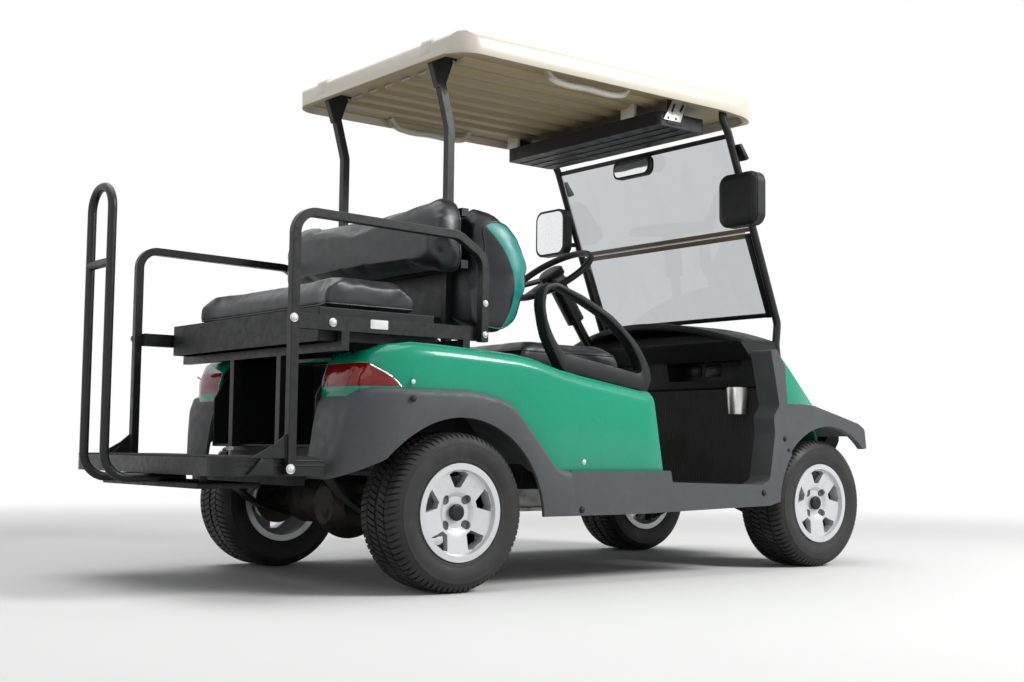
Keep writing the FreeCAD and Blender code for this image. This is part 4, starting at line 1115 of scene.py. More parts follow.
@dataclass
class Bodywork:
    """The painted rear body, its lamps, the flares, the roof, the hood of the dash and the hip loops."""

    # Half width of the body, limits past both sides, and half widths of the bag well, rear deck and seat box.
    half: float = 585
    beyond: Pair = (-640, 640)
    well_half: float = 330
    deck_half: float = 480
    box_half: float = 455
    # Cross-sections from the tail forwards: (x, half width, top).
    body: tuple[Point, ...] = (
        (-300, 320, 560), (-300, 468, 604), (-286, 505, 650), (-258, 540, 684), (-210, 566, 705), (-140, 581, 715),
        (-40, 585, 713), (98, 585, 706), (230, 585, 699), (302, 585, 689), (350, 585, 677), (410, 585, 661),
        (500, 585, 645), (755, 585, 607), (862, 585, 607),
    )
    # The same for the flares.
    flare: tuple[Point, ...] = (
        (-350, 320, 200), (-350, 446, 310), (-338, 474, 400), (-326, 496, 480), (-312, 518, 540), (-290, 544, 570),
        (-255, 572, 580), (-205, 594, 580), (-150, 605, 580), (-90, 607, 580), (33, 607, 580), (90, 607, 574),
        (150, 607, 562), (185, 607, 550), (215, 607, 527), (281, 607, 455), (346, 607, 380), (368, 607, 361),
        (395, 607, 350), (447, 607, 348),
    )
    # Wheel arch: (x, z, radius).
    arch: Point = (8, 195, 306)
    roof_half: float = 505
    roof_ends: Pair = (45, 1425)
    # Heights of the roof's lower edge, its lining and its crown.
    roof_heights: Point = (1612, 1636, 1729)
    ridges: tuple[Pair, Pair] = ((-346, -290), (290, 346))
    ridge_height: float = 9
    # The hood of the dash: its brim runs back by brim_sweep, and its top drops by hood_drop, towards the sides.
    hood_half: float = 486
    hood_front: float = 1498
    brim: float = 1252
    brim_sweep: float = 62
    hood_top: float = 890
    hood_drop: float = 80
    # The right hip loop: its limits across the cart, and its outlines as rows of (x, z, corner radius).
    loop_sides: Pair = (-530, -484)
    loop_outer: tuple[Point, ...] = (
        (452, 652, 40), (380, 762, 200), (357, 868, 120), (372, 922, 34), (420, 936, 60), (528, 903, 300),
        (657, 848, 300), (768, 763, 200), (817, 694, 120), (832, 650, 30), (812, 604, 14), (718, 616, 0), (509, 648, 0),
    )
    loop_inner: tuple[Point, ...] = (
        (456, 712, 25), (414, 754, 150), (384, 812, 150), (374, 862, 100), (384, 906, 28), (426, 920, 28),
        (514, 889, 300), (622, 842, 300), (691, 799, 300), (740, 755, 200), (774, 706, 90), (788, 668, 16),
        (764, 664, 10), (615, 689, 0),
    )

    def build(self) -> None:
        """Builds the moulded pieces that stand for the plain solids."""
        self.rear_body()
        self.lamps()
        self.flares()
        self.roof()
        self.hood()
        self.loops()

    def finish(self, piece: bpy.types.Object, coat: Coat, width: float, *nodes: str) -> None:
        """Eases a piece's edges, fixes it to the chassis and lets it stand for solids."""
        fixed(eased(piece, width, 2, 32), coat)
        if nodes:
            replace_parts(piece, *nodes)

    def rows(self, stations: Sequence[Point], base: float, shoulder: float) -> list[list[Vector]]:
        """Places over a body whose cross-sections are boxes with rounded shoulders.

        Args:
            stations: rows of (x, half width, top) in millimetres.
            base: height of the lower edges.
            shoulder: radius of the shoulders.

        Returns:
            One row of places for each station, from the left foot over the top to the right foot.
        """
        rows = []
        for x, half, top in stations:
            left = [(half, base)]
            for step in range(SHOULDER_STEPS + 1):
                angle = math.radians(90 * step / SHOULDER_STEPS)
                y, z = half - shoulder + shoulder * math.cos(angle), top - shoulder + shoulder * math.sin(angle)
                left.append((y, z))
            rows.append([spot(x, y, z) for y, z in left] + [spot(x, -y, z) for y, z in reversed(left)])
        return rows

    def below_flares(self) -> bpy.types.Object:
        """A cutting block with the flares' top line, as wide as the body."""
        line = [(x, top, 0) for x, _, top in self.flare[1:]]
        return prism([*line, (447, 100, 0), (-350, 100, 0)], "XZ", -self.half - 30, self.half + 30, "below")

    def opening(self, x: Pair, half: float, z: Pair) -> bpy.types.Object:
        """A cutting block in the middle of the cart, as wide as twice a half width."""
        return block(x, (-half, half), z)

    def lamp_zone(self, side: int) -> bpy.types.Object:
        """The room of one tail lamp."""
        corners = [(-360, 584, 0), (-360, 650, 0), (-268, 650, 20), (-190, 590, 10), (-200, 584, 0)]
        low, high = sorted((side * 336, side * (self.half + 5)))
        return prism(corners, "XZ", low, high, "zone")

    def rear_body(self) -> None:
        """The painted shell: sides with rounded shoulders, tail corners and the deck."""
        shell = skin(self.rows(self.body, 300, 45), 8, "rear_body_shell")
        front_edge = [(782, 800, 0), (782, 611, 0), (829, 348, 0), (829, 290, 0), (900, 290, 0), (900, 800, 0)]
        up = (200, 900)
        for cutter in (
                self.below_flares(), block((300, 900), self.beyond, (200, 348)),
                prism(front_edge, "XZ", *self.beyond, "edge"), self.opening((330, 900), self.box_half, up),
                self.opening((-400, 60), self.well_half, up), self.opening((-240, 60), self.deck_half, up)):
            carved(shell, cutter)
        for side in (RIGHT, LEFT):
            carved(shell, self.lamp_zone(side))
        self.finish(shell, Coat.BODY, 1.5, "rear_body")

    def lamps(self) -> None:
        """Red lamps in the tail's corners."""
        lamps = []
        for side in (RIGHT, LEFT):
            lamp = skin(self.rows(self.body, 300, 45), 30, "lamp")
            lamps.append(carved(lamp, self.lamp_zone(side), "INTERSECT"))
        self.finish(joined(lamps, "tail_lamp_lenses"), Coat.RED, 1.5, "tail_lamps")

    def flares(self) -> None:
        """Wheel-arch mouldings that wrap round the tail's corners."""
        flare = skin(self.rows(self.flare, 120, 22), 12, "rear_flare_mouldings")
        foot = [(-400, 294, 0), (-230, 384, 0), (-100, 300, 0), (300, 211, 0), (446, 211, 0), (420, 348, 0),
                (420, 900, 0), (-400, 900, 0)]
        carved(flare, prism(foot, "XZ", *self.beyond, "foot"), "INTERSECT")
        carved(flare, self.opening((-400, 500), self.well_half, (0, 900)))
        carved(flare, self.opening((344.7, 500), self.box_half, (0, 900)))
        x, z, radius = self.arch
        carved(flare, drum(128, radius, 1400, "bore", spot(x, 0, z), lying=True))
        self.finish(flare, Coat.FLARE, 1.5, "rear_flares")

    def roof_plan(self, inset: Pair, radii: Pair, low: float, high: float, name: str) -> bpy.types.Object:
        """A block with the roof's plan.

        Args:
            inset: how far it is drawn in, at the sides and tail and at the front.
            radii: radius of its rear and of its front corners.
            low: height of its lower face.
            high: height of its upper face.
            name: its name.

        Returns:
            The block.
        """
        (rear, front), (sides, nose) = self.roof_ends, inset
        half = self.roof_half - sides
        corners = [(rear + sides, -half, radii[0]), (front - nose, -half, radii[1]),
                   (front - nose, half, radii[1]), (rear + sides, half, radii[0])]
        return prism(corners, "XY", low, high, name)

    def roof_side(self, lift: float) -> bpy.types.Object:
        """The roof's side outline as a cutting block, its top raised by some millimetres."""
        (rear, front), (edge, _, crown) = self.roof_ends, self.roof_heights
        outline = [
            (rear, edge, 6), (rear + 8, edge + 66 + lift, 20), (rear + 330, crown - 22 + lift, 400),
            (rear + 800, crown + lift, 600), (front - 130, crown - 34 + lift, 200), (front, edge + 32, 26),
            (front - 12, edge - 4, 12), (front - 60, edge - 10, 20), (front - 220, edge, 40)]
        return prism(outline, "XZ", -self.roof_half - 1, self.roof_half + 1, "side")

    def roof(self) -> None:
        """The roof: crowned, with two ridges above and ribs and grab handles beneath."""
        (rear, front), (edge, lining, crown) = self.roof_ends, self.roof_heights
        out = self.roof_half + 1
        section = [
            (-out, edge - 50, 0), (-out, edge + 66, 36), (171 - out, crown - 10, 150), (0, crown + 30, 0),
            (out - 171, crown - 10, 150), (out, edge + 66, 36), (out, edge - 50, 0)]
        corner_radii = (90, 150)
        roof = self.roof_plan((0, 0), corner_radii, edge - 40, crown + 60, "roof_moulding")
        carved(roof, prism(section, "YZ", -50, 2000, "section"), "INTERSECT")
        carved(roof, self.roof_side(0), "INTERSECT")
        for y in self.ridges:
            ridge = block((rear, front - 300), y, (lining, crown + 60))
            carved(ridge, self.roof_plan((0, 0), corner_radii, lining - 10, crown + 70, "plan"), "INTERSECT")
            carved(roof, carved(ridge, self.roof_side(self.ridge_height), "INTERSECT"), "UNION")
        carved(roof, self.roof_plan((16, 32), (70, 125), edge - 60, lining, "recess"))
        parts = [eased(roof, 2, 2, 32)]
        for y in range(-350, 351, 100):
            rib = [(y - 34, lining + 1, 0), (y - 20, lining - 13, 4), (y + 20, lining - 13, 4), (y + 34, lining + 1, 0)]
            parts.append(eased(prism(rib, "YZ", rear + 110, front - 420, "rib"), 5, 3, 30))
        for y in (-452, 452):
            knots = ((430, lining), (445, 1612), (478, 1600), (610, 1599), (742, 1600), (775, 1612), (790, lining))
            parts.append(pipe([spot(x, y, z) for x, z in knots], 12, "handle", sides=12))
        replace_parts(fixed(joined(parts, "roof_moulding"), Coat.ROOF), "roof")

    def hood(self) -> None:
        """Crowned hood of the dash, whose brim reaches towards the riders."""
        rows = []
        for share in (step / 12 for step in range(13)):
            row = []
            for across in (-1 + number / 16 for number in range(33)):
                brim = self.brim + self.brim_sweep * across * across
                x = brim + (self.hood_front - brim) * share
                row.append(spot(x, self.hood_half * across, self.hood_top - self.hood_drop * across * across))
            rows.append(row)
        self.finish(skin(rows, 24, "dash_hood"), Coat.DARK, 8)

    def loops(self) -> None:
        """Hip restraints at the ends of the front seat: thin moulded rings, broad only at the foot."""
        low, high = self.loop_sides
        ring = prism(self.loop_outer, "XZ", low, high, "hip_loops")
        carved(ring, prism(self.loop_inner, "XZ", low - 4, high + 4, "hole"))
        self.finish(both_sides(ring), Coat.DARK, 5, "hip_restraints")


# ---------------------------------------------------------------- wheels


@dataclass
class Wheels:
    """Tyres with cut tread, and the caps, lugs and valves of the wheels.

    The outlines are rows of (y from the wheel's middle, radius) in millimetres, and angles are in degrees.
    """

    pitch: int = 76
    steps: int = 96
    slant: float = 3.2
    block: float = 3.3
    carcass: tuple[Pair, ...] = (
        (86, 127), (88.6, 135), (89.5, 143), (93, 146.5), (94.6, 149.5), (94, 152.5), (96.6, 158), (99.6, 168),
        (101.2, 180), (101.4, 190), (100.4, 197), (100.9, 200.2), (100.2, 202.2), (98.6, 203.4), (96.4, 208),
        (92.5, 213.5), (86, 218), (76, 221), (60, 223), (30, 223.6),
    )
    shoulder: tuple[Pair, ...] = (
        (45, 222), (45, 229.2), (64, 229), (75, 227.4), (84, 223.6), (90.5, 217.6), (95.6, 209.6), (98.4, 204.6),
        (95, 204.6), (86, 216), (66, 221),
    )
    crown: tuple[Pair, ...] = ((6, 223), (6, 229.4), (23, 229.5), (40, 229.3), (40, 222.6), (23, 223))
    cap: tuple[Pair, ...] = (
        (-76.5, 0.02), (-80.2, 0.02), (-80.6, 12), (-80.2, 20), (-78.4, 23.2), (-75.5, 24.4), (-72, 24.4),
    )
    lug_turn: float = 45
    lug_circle: float = 50.8
    lug_side: float = -64

    def build(self) -> None:
        """Builds one wheel's pieces at the right rear and copies them to the other three."""
        low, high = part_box("tyre_rear_right")
        centre = (low + high) / 2
        tyre = self.tyre(centre)
        trim = self.trim(centre)
        for name in CORNERS:
            low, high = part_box(f"tyre_{name}")
            facing = Matrix.Diagonal((1, -SIDES[name.split("_")[1]], 1, 1))
            move = Matrix.Translation((low + high) / 2) @ facing @ Matrix.Translation(-centre)
            rubber = mount(copied(tyre, f"tread_tyre_{name}", move), f"wheel_{name}", Coat.TREAD)
            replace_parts(rubber, f"tyre_{name}")
            for kind, (piece, coat) in trim.items():
                mount(copied(piece, f"{kind}_{name}", move), f"wheel_{name}", coat)
        for piece in (tyre, *(piece for piece, _ in trim.values())):
            bpy.data.objects.remove(piece)

    def tyre(self, centre: Vector) -> bpy.types.Object:
        """A tyre: a turned carcass with rows of tread blocks round it.

        Args:
            centre: the wheel's middle, in metres.

        Returns:
            The tyre.
        """
        section = list(self.carcass) + [(-side, radius) for side, radius in reversed(self.carcass)]
        carcass = smooth(turned(section, centre, self.steps, "carcass", True), 50)
        rows = [carcass]
        for row, (profile, lean, phase) in enumerate((
                (self.shoulder, 1, 0.0), (self.crown, -1, 0.3), (self.crown, 1, 0.8), (self.shoulder, -1, 0.5))):
            side = LEFT if row < 2 else RIGHT
            rows.append(self.row(profile, centre, side, lean * self.slant, phase))
        return joined(rows, "tyre_master")

    def row(self, profile: Sequence[Pair], centre: Vector, side: int, slant: float, phase: float) -> bpy.types.Object:
        """One ring of tread blocks.

        Args:
            profile: a block's outline, rows of (y from the wheel's middle, radius) in millimetres.
            centre: the wheel's middle, in metres.
            side: which way the ring lies from the middle.
            slant: how many degrees the block's far edge runs ahead of its near edge.
            phase: share of a pitch that the ring starts on.

        Returns:
            The ring.
        """
        points = [centre + mm(0, side * y, radius) for y, radius in profile]
        ring = closed_face(points, "blocks")
        pulled(mm(0, 0, 0))
        rolled(math.radians(self.block), centre)
        outward(ring)
        widths = sorted({round(abs(y), 3) for y, _ in profile})
        span = widths[-1] - widths[0]
        for width in widths[1:]:
            share = (width - widths[0]) / span
            choose(ring, "VERT", lambda p: abs(abs(p.y - centre.y) / MM - width) < 0.05)
            rolled(math.radians(slant * share ** 1.6), centre)
            done()
        step, others = 2 * math.pi / self.pitch, self.pitch - 1
        with editing(ring):
            rolled(step * phase, centre)
            bpy.ops.mesh.spin(steps=others, dupli=True, angle=step * others, center=centre, axis=(0, 1, 0))
        return smooth(ring, 25)

    def trim(self, centre: Vector) -> dict[str, tuple[bpy.types.Object, Coat]]:
        """The bare centre cap, lug covers and tyre valve of the right rear wheel.

        Args:
            centre: the wheel's middle, in metres.

        Returns:
            Each piece and its finish, by the start of its name.
        """
        cap = turned(self.cap, centre, 40, "cap", False)
        cap = smooth(worked(cap, "SOLIDIFY", thickness=1.5 * MM, offset=-1), 45)
        lugs = []
        for number in range(4):
            angle = math.radians(self.lug_turn + 90 * number)
            away = mm(self.lug_circle * math.sin(angle), self.lug_side, self.lug_circle * math.cos(angle))
            lug = drum(28, 13.2, 6, "lug", centre + away, lying=True)
            choose(lug, "FACE", lambda middle, normal: normal.y < -0.9)
            bpy.ops.mesh.inset(thickness=3.2 * MM, depth=0)
            bpy.ops.mesh.inset(thickness=1.0 * MM, depth=-2.2 * MM)
            done()
            lugs.append(eased(lug, 0.8))
        valve = pipe([centre + mm(0, -78, 112), centre + mm(0, -92, 104)], 2.8, "valve", sides=10)
        return {"cap": (cap, Coat.DARK), "lug_covers": (joined(lugs, "lugs"), Coat.LUG), "valve": (valve, Coat.DARK)}


# ---------------------------------------------------------------- upholstery


@dataclass
class Cushion:
    """One padded piece, puffed from its solid and edged with piping.

    Sizes are in millimetres. Each piping lies where the pad is cut by a plane, given by a place and its normal,
    and rest names the sides of the box that the pad lies flat against.
    """

    name: str
    node: str
    body: str
    fill: float
    voxel: float = 10
    shrink: float = 9
    cap: float = 24
    pressure: float = 4
    slack: float = 4
    rest: tuple[str, ...] = ()
    piping: tuple[tuple[Point, Point], ...] = ()
    coat: Coat = Coat.SEAT

    def build(self) -> bpy.types.Object:
        """Builds the cushion and its piping.

        Returns:
            The cushion.
        """
        pad = self.blank()
        self.puff(pad)
        worked(pad, "SMOOTH", factor=0.5, iterations=6)
        self.press(pad)
        worked(pad, "SUBSURF", levels=1, render_levels=1)
        hold(pad)
        bpy.ops.object.shade_smooth()
        for number, (through, normal) in enumerate(self.piping, start=1):
            self.seam(pad, Vector(spot(*through)), Vector(normal).normalized(), f"{self.name}_piping_{number}")
        mount(pad, self.body, self.coat)
        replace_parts(pad, self.node)
        return pad

    def blank(self) -> bpy.types.Object:
        """A copy of the solid, merged, drawn in a little and remeshed evenly.

        Returns:
            The unpuffed pad.
        """
        pad = copied(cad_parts[self.node], self.name, Matrix.Identity(4))
        pad.parent = None
        for key in list(pad.keys()):
            del pad[key]
        with editing(pad):
            bpy.ops.mesh.remove_doubles(threshold=WELD_GAP)
            bpy.ops.mesh.normals_make_consistent(inside=False)
        bpy.ops.mesh.customdata_custom_splitnormals_clear()
        low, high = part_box(self.node)
        middle, size = (low + high) / 2, high - low
        draw_in = Matrix.Diagonal([1 - 2 * self.shrink * MM / part for part in size] + [1])
        pad.data.transform(Matrix.Translation(middle) @ draw_in @ Matrix.Translation(-middle))
        return worked(pad, "REMESH", mode="VOXEL", voxel_size=self.voxel * MM, use_smooth_shade=True)

    def puff(self, pad: bpy.types.Object) -> None:
        """Swells the pad by a short cloth simulation and caps how far it moves.

        Args:
            pad: the remeshed pad.
        """
        start = [point.co.copy() for point in pad.data.vertices]
        hold(pad)
        cloth = pad.modifiers.new("Cloth", "CLOTH")
        cloth.settings.quality = 4
        cloth.settings.use_pressure = True
        cloth.settings.uniform_pressure_force = self.pressure
        cloth.settings.effector_weights.gravity = 0
        cloth.settings.tension_stiffness = 18
        cloth.settings.compression_stiffness = 12
        cloth.settings.bending_stiffness = 0.6
        for number in range(1, 21):
            bpy.context.scene.frame_set(number)
        bpy.ops.object.modifier_apply(modifier=cloth.name)
        bpy.context.scene.frame_set(1)
        for point, before in zip(pad.data.vertices, start):
            move = point.co - before
            if move.length > self.cap * MM:
                point.co = before + move.normalized() * self.cap * MM

    def press(self, pad: bpy.types.Object) -> None:
        """Keeps the pad in its solid's box, flat where it rests.

        Args:
            pad: the puffed pad.
        """
        low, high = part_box(self.node)
        soft = self.slack * MM
        for point in pad.data.vertices:
            for axis in range(3):
                slack_low = 0 if "-" + "xyz"[axis] in self.rest else soft
                slack_high = 0 if "+" + "xyz"[axis] in self.rest else soft
                point.co[axis] = min(max(point.co[axis], low[axis] - slack_low), high[axis] + slack_high)
        pad.data.update()

    def seam(self, pad: bpy.types.Object, through: Vector, normal: Vector, name: str) -> None:
        """A sewn piping round the pad, where a plane cuts it.

        Args:
            pad: the pad that it follows.
            through: a point of the plane, in metres.
            normal: the plane's normal.
            name: the piping's name.
        """
        loop = copied(pad, name, Matrix.Identity(4))
        with editing(loop):
            bpy.ops.mesh.bisect(plane_co=through, plane_no=normal, use_fill=False, clear_inner=True, clear_outer=True)
            bpy.ops.mesh.select_all(action="SELECT")
            bpy.ops.mesh.delete(type="ONLY_FACE")
        bpy.ops.object.convert(target="CURVE")
        curve = bpy.context.object
        curve.data.bevel_depth = 3.2 * MM
        curve.data.bevel_resolution = 2
        bpy.ops.object.convert(target="MESH")
        mount(smooth(bpy.context.object, 60), self.body, Coat.SEAT)


@dataclass
class Upholstery:
    """The front bench, its two-colour back, and the rear bench with its back."""

    cushions: tuple[Cushion, ...] = (
        Cushion("bench_cushion", "front_seat_cushion", "seat_lid", 0.7, rest=("-z",), voxel=12,
                piping=(((0, 0, 724), (0, 0, 1)),)),
        Cushion("bench_back", "front_seat_back", "chassis", 0.7, rest=("-x",),
                piping=(((0, 445, 0), (0, 1, 0)), ((0, -445, 0), (0, 1, 0))), coat=Coat.PANELLED),
        Cushion("rear_bench_cushion", "rear_seat_cushion", "flip_seat", 0.75, rest=("-z", "+x"),
                piping=(((0, 0, 822), (0, 0, 1)),)),
        Cushion("rear_bench_back", "rear_seat_back", "chassis", 0.7, rest=("+x",),
                piping=(((92, 0, 0), (1, 0, 0)),)),
    )

    def build(self) -> None:
        """Builds each cushion."""
        for cushion in self.cushions:
            cushion.build()


# ---------------------------------------------------------------- fasteners


class Head(Enum):
    """Kinds of fastener heads: sides of the head, head height and dome, in shares of the head's radius."""

    PAN = (20, 0.35, 0.3)
    DOME = (20, 0.55, 0.45)


HeadRow = tuple[Head, str, float, float, float]


@dataclass
class Fasteners:
    """Bolts and screws of both sides, gathered into one piece for each finish."""

    # Rows of (head, solid that carries it, x, z, radius of the head) on the right side; each has a left twin.
    bright: tuple[HeadRow, ...] = (
        (Head.DOME, "arm_rails", -510, 760, 9), (Head.DOME, "rear_seat_frame", -374, 757, 9),
        (Head.DOME, "arm_rails", -510, 352, 10), (Head.DOME, "arm_rails", 137, 846, 7),
        (Head.DOME, "arm_rails", 137, 752, 7), (Head.PAN, "rear_body", 488, 375, 6),
        (Head.PAN, "rear_body", -154, 599, 5), (Head.DOME, "front_struts", 1380, 1240, 6),
    )
    dark: tuple[HeadRow, ...] = (
        (Head.PAN, "sills", 468, 229, 8), (Head.PAN, "sills", 1300, 272, 8), (Head.PAN, "sills", 1431, 420, 5),
        (Head.PAN, "sills", 1410, 459, 7), (Head.PAN, "rear_flares", -167, 550, 7),
    )

    def build(self) -> None:
        """Builds the bright and the dark heads."""
        for name, rows, coat in (("bright_bolts", self.bright, Coat.ZINC), ("dark_screws", self.dark, Coat.DARK)):
            heads = [self.head(*row, side) for row in rows for side in (RIGHT, LEFT)]
            fixed(joined(heads, name), coat)

    def head(self, kind: Head, node: str, x: float, z: float, radius: float, side: int) -> bpy.types.Object:
        """One head with its washer, sitting on its solid.

        Args:
            kind: the kind of head.
            node: the solid that carries it.
            x: place along the cart.
            z: height.
            radius: radius of the head.
            side: the cart's side that it faces.

        Returns:
            The head, at the origin.
        """
        place, normal = landed(node, spot(x, 800 * side, z), Vector((0, -side, 0)))
        sides, tall, dome = kind.value
        piece = drum(sides, radius, radius * tall, "head")
        choose(piece, "FACE", lambda middle, normal: normal.z > 0.9)
        bpy.ops.mesh.inset(thickness=radius * 0.25 * MM, depth=radius * dome * 0.6 * MM)
        bpy.ops.mesh.inset(thickness=radius * 0.35 * MM, depth=radius * dome * 0.4 * MM)
        done()
        washer = drum(24, radius * 1.35, 1.6, "washer", mm(0, 0, -radius * tall / 2))
        whole = joined([piece, washer], "fastener")
        whole.rotation_euler = normal.to_track_quat("Z", "Y").to_euler()
        whole.location = place + normal * (radius * tall / 2 + 0.6) * MM
        return smooth(settle(whole), 35)


# ---------------------------------------------------------------- glass


@dataclass
class Glazing:
    """Channels, fold strips and clips of the windscreen, and the glasses of the mirrors."""

    half: float = 455
    # Lower and upper edge of each pane's rear face: (x, z).
    lower: tuple[Pair, Pair] = ((1514, 905), (1392, 1202))
    upper: tuple[Pair, Pair] = ((1392, 1208), (1262, 1545))

    def build(self) -> None:
        """Builds the windscreen's trim and the mirrors' glasses."""
        self.trim()
        self.clips()
        self.glasses()

    def trim(self) -> None:
        """Black channels round the panes and the two strips where they fold."""
        half = self.half
        channels = [
            self.strip(self.upper, (344, 361), (-half, half), (-7, 3), "channel"),
            self.strip(self.lower, (0, 16), (-half, half), (-7, 3), "channel"),
            self.strip(self.lower, (0, 319), (-half, 22 - half), (-8, 8), "channel"),
            self.strip(self.lower, (0, 319), (half - 22, half), (-8, 8), "channel"),
        ]
        fixed(joined(channels, "windscreen_channels"), Coat.DARK)
        strips = [
            self.strip(self.lower, (303, 320), (22 - half, half - 22), (0.4, 3), "strip"),
            self.strip(self.upper, (0, 15), (-half, half), (0.4, 3), "strip"),
        ]
        fixed(joined(strips, "windscreen_fold_strips"), Coat.FOLD)
        bead = pipe([spot(1390, 22 - half, 1205), spot(1390, 0, 1205), spot(1390, half - 22, 1205)], 2.6, "bead")
        bead.name = "windscreen_fold_bead"
        fixed(bead, Coat.BLANK)

    def strip(self, pane: tuple[Pair, Pair], band: Pair, across: Pair, deep: Pair, name: str) -> bpy.types.Object:
        """A flat strip that lies along a pane.

        Args:
            pane: the pane's lower and upper edge, rows of (x, z) in millimetres.
            band: where the strip starts and stops up the pane, in millimetres from its lower edge.
            across: its limits across the cart.
            deep: how far its two faces stand behind the pane's rear face.
            name: the strip's name.

        Returns:
            The strip.
        """
        start, stop = (Vector((x, 0, z)) for x, z in pane)
        along = (stop - start).normalized()
        behind = Vector((-along.z, 0, along.x))
        corners = []
        for up, y in ((0, 0), (1, 0), (1, 1), (0, 1)):
            place = start + along * band[up] + behind * deep[0]
            corners.append(spot(place.x, across[y], place.z))
        return plate(corners, behind * (deep[1] - deep[0]) * MM, name, 0.8)

    def clips(self) -> None:
        """Clips on the struts that hold the folded pane."""
        outline = [(1288, 1504), (1302, 1511), (1342, 1461), (1327, 1452)]
        clip = plate([spot(x, -499, z) for x, z in outline], mm(0, 44, 0), "windscreen_clips", 3)
        fixed(both_sides(clip), Coat.DARK)

    def glasses(self) -> None:
        """Mirror glasses and the domed backs of their housings."""
        cabin = plate(rounded((-82, 102), (1463, 1522), 24, lambda y, z: spot(1238.2, y, z)),
                      mm(-1.6, 0, 0), "cabin_mirror_glass", 0.4)
        fixed(cabin, Coat.MIRROR)
        # Rear face and front face of each housing; the left one is turned round.
        for side, name, face, back, ahead in ((RIGHT, "right", 1300, 1262, 1), (LEFT, "left", 1262, 1300, -1)):
            y = sorted((side * 438, side * 600))
            glass = plate(rounded(y, (1215, 1385), 32, lambda y, z: spot(face - 0.2 * ahead, y, z)),
                          mm(1.6 * ahead, 0, 0), f"side_mirror_glass_{name}", 0.4)
            fixed(glass, Coat.MIRROR)
            y = sorted((side * 430, side * 608))
            outline = rounded(y, (1207, 1393), 38, lambda y, z: spot(back, y, z))
            dome = closed_face(outline, f"side_mirror_back_{name}")
            pulled(mm(-5 * ahead, 0, 0))
            bpy.ops.mesh.inset(thickness=7 * MM, depth=0)
            bpy.ops.transform.translate(value=(-5 * ahead * MM, 0, 0))
            bpy.ops.mesh.inset(thickness=16 * MM, depth=0)
            bpy.ops.transform.translate(value=(-4 * ahead * MM, 0, 0))
            fixed(eased(outward(dome), 5, 3, 12), Coat.DARK)


# ---------------------------------------------------------------- trim


@dataclass
class TailTrim:
    """Bright edge of each tail lamp, the platform's mat and beads, gussets and the blank plate."""

    lamp_edge: tuple[Point, ...] = (
        (-274, -546, 644), (-250, -552, 632), (-223, -560, 618), (-201, -566, 602), (-184, -571, 583),
    )
    ribs: int = 33
    rib_pitch: float = 30

    def build(self) -> None:
        """Builds the pieces at the tail."""
        edge = pipe([spot(*point) for point in self.lamp_edge], 2.4, "tail_lamp_edges", sides=8)
        fixed(both_sides(edge), Coat.ZINC)
        plate_x, plate_z = (-251, -192), (747, 773)
        blank = plate(rounded(plate_x, plate_z, 3, lambda x, z: spot(x, -507.4, z)), mm(0, -1.4, 0),
                      "side_bar_plate", 0.3)
        fixed(blank, Coat.BLANK)
        self.platform()

    def platform(self) -> None:
        """Ribbed mat on the foot platform, its side beads, its gussets and the panel beneath."""
        ribs = [slab((-698, -402), (-497, 497), (379.5, 382.5), "mat", 1)]
        rib = slab((-694, -406), (-3, 3), (382, 385), "rib", 1)
        for number in range(self.ribs):
            y = (number - (self.ribs - 1) / 2) * self.rib_pitch
            ribs.append(copied(rib, "rib", Matrix.Translation(mm(0, y, 0))))
        bpy.data.objects.remove(rib)
        fixed(joined(ribs, "platform_mat"), Coat.MAT)
        beads = [slab((-650, -390), (-507.5, -504.5), (z, z + 4), "bead", 0.8) for z in (359, 372)]
        fixed(both_sides(joined(beads, "platform_beads")), Coat.STEEL)
        gusset = plate([spot(-629, -508, 336), spot(-555, -508, 409), spot(-553, -508, 336)],
                       mm(0, -11, 0), "platform_gussets", 1.5)
        fixed(both_sides(gusset), Coat.STEEL)
        panel = [slab((-682, -489), (-330, 330), (294, 310), "panel", 3)]
        panel += [slab((-660, -640), y, (306, 374), "hanger", 1) for y in ((-304, -296), (296, 304))]
        fixed(joined(panel, "platform_under_panel"), Coat.DARK)


@dataclass
class RoofTrim:
    """Beads and hanger plates of the overhead tray, and the pale standoffs above it."""

    # Middle line of each slot in the hanger plates, from (x, z) to (x, z).
    slots: tuple[tuple[Pair, Pair], ...] = (
        ((1033, 1624), (1018, 1591)), ((1077, 1626), (1058, 1597)),
        ((996, 1568), (1006, 1568)), ((1032, 1569), (1044, 1569)),
    )
    slot_half: float = 5

    def build(self) -> None:
        """Builds the pieces under the roof's front."""
        beads = [slab((x - 4, x + 4), (-412, 412), (1537.2, 1541), "bead", 1.2) for x in (1018, 1075, 1132)]
        fixed(joined(beads, "tray_beads"), Coat.DARK)
        outline = [(1024, 1635), (1090, 1635), (1061, 1560), (979, 1560)]
        hanger = plate([spot(x, -428, z) for x, z in outline], mm(0, -2.4, 0), "tray_hanger_plates", 0.4)
        for start, stop in self.slots:
            low, high = Vector((start[0], 0, start[1])), Vector((stop[0], 0, stop[1]))
            along = (high - low).normalized()
            beside = Vector((along.z, 0, -along.x)) * self.slot_half
            corners = [spot(c.x, -420, c.z) for c in (low - beside, high - beside, high + beside, low + beside)]
            carved(hanger, plate(corners, mm(0, -20, 0), "cutter", 2))
        fixed(both_sides(smooth(hanger, 30)), Coat.ZINC)
        standoffs = [slab((958, 974), y, (1588, 1637), "standoff", 3) for y in ((-300, -232), (360, 424))]
        fixed(joined(standoffs, "tray_standoffs"), Coat.ROOF)


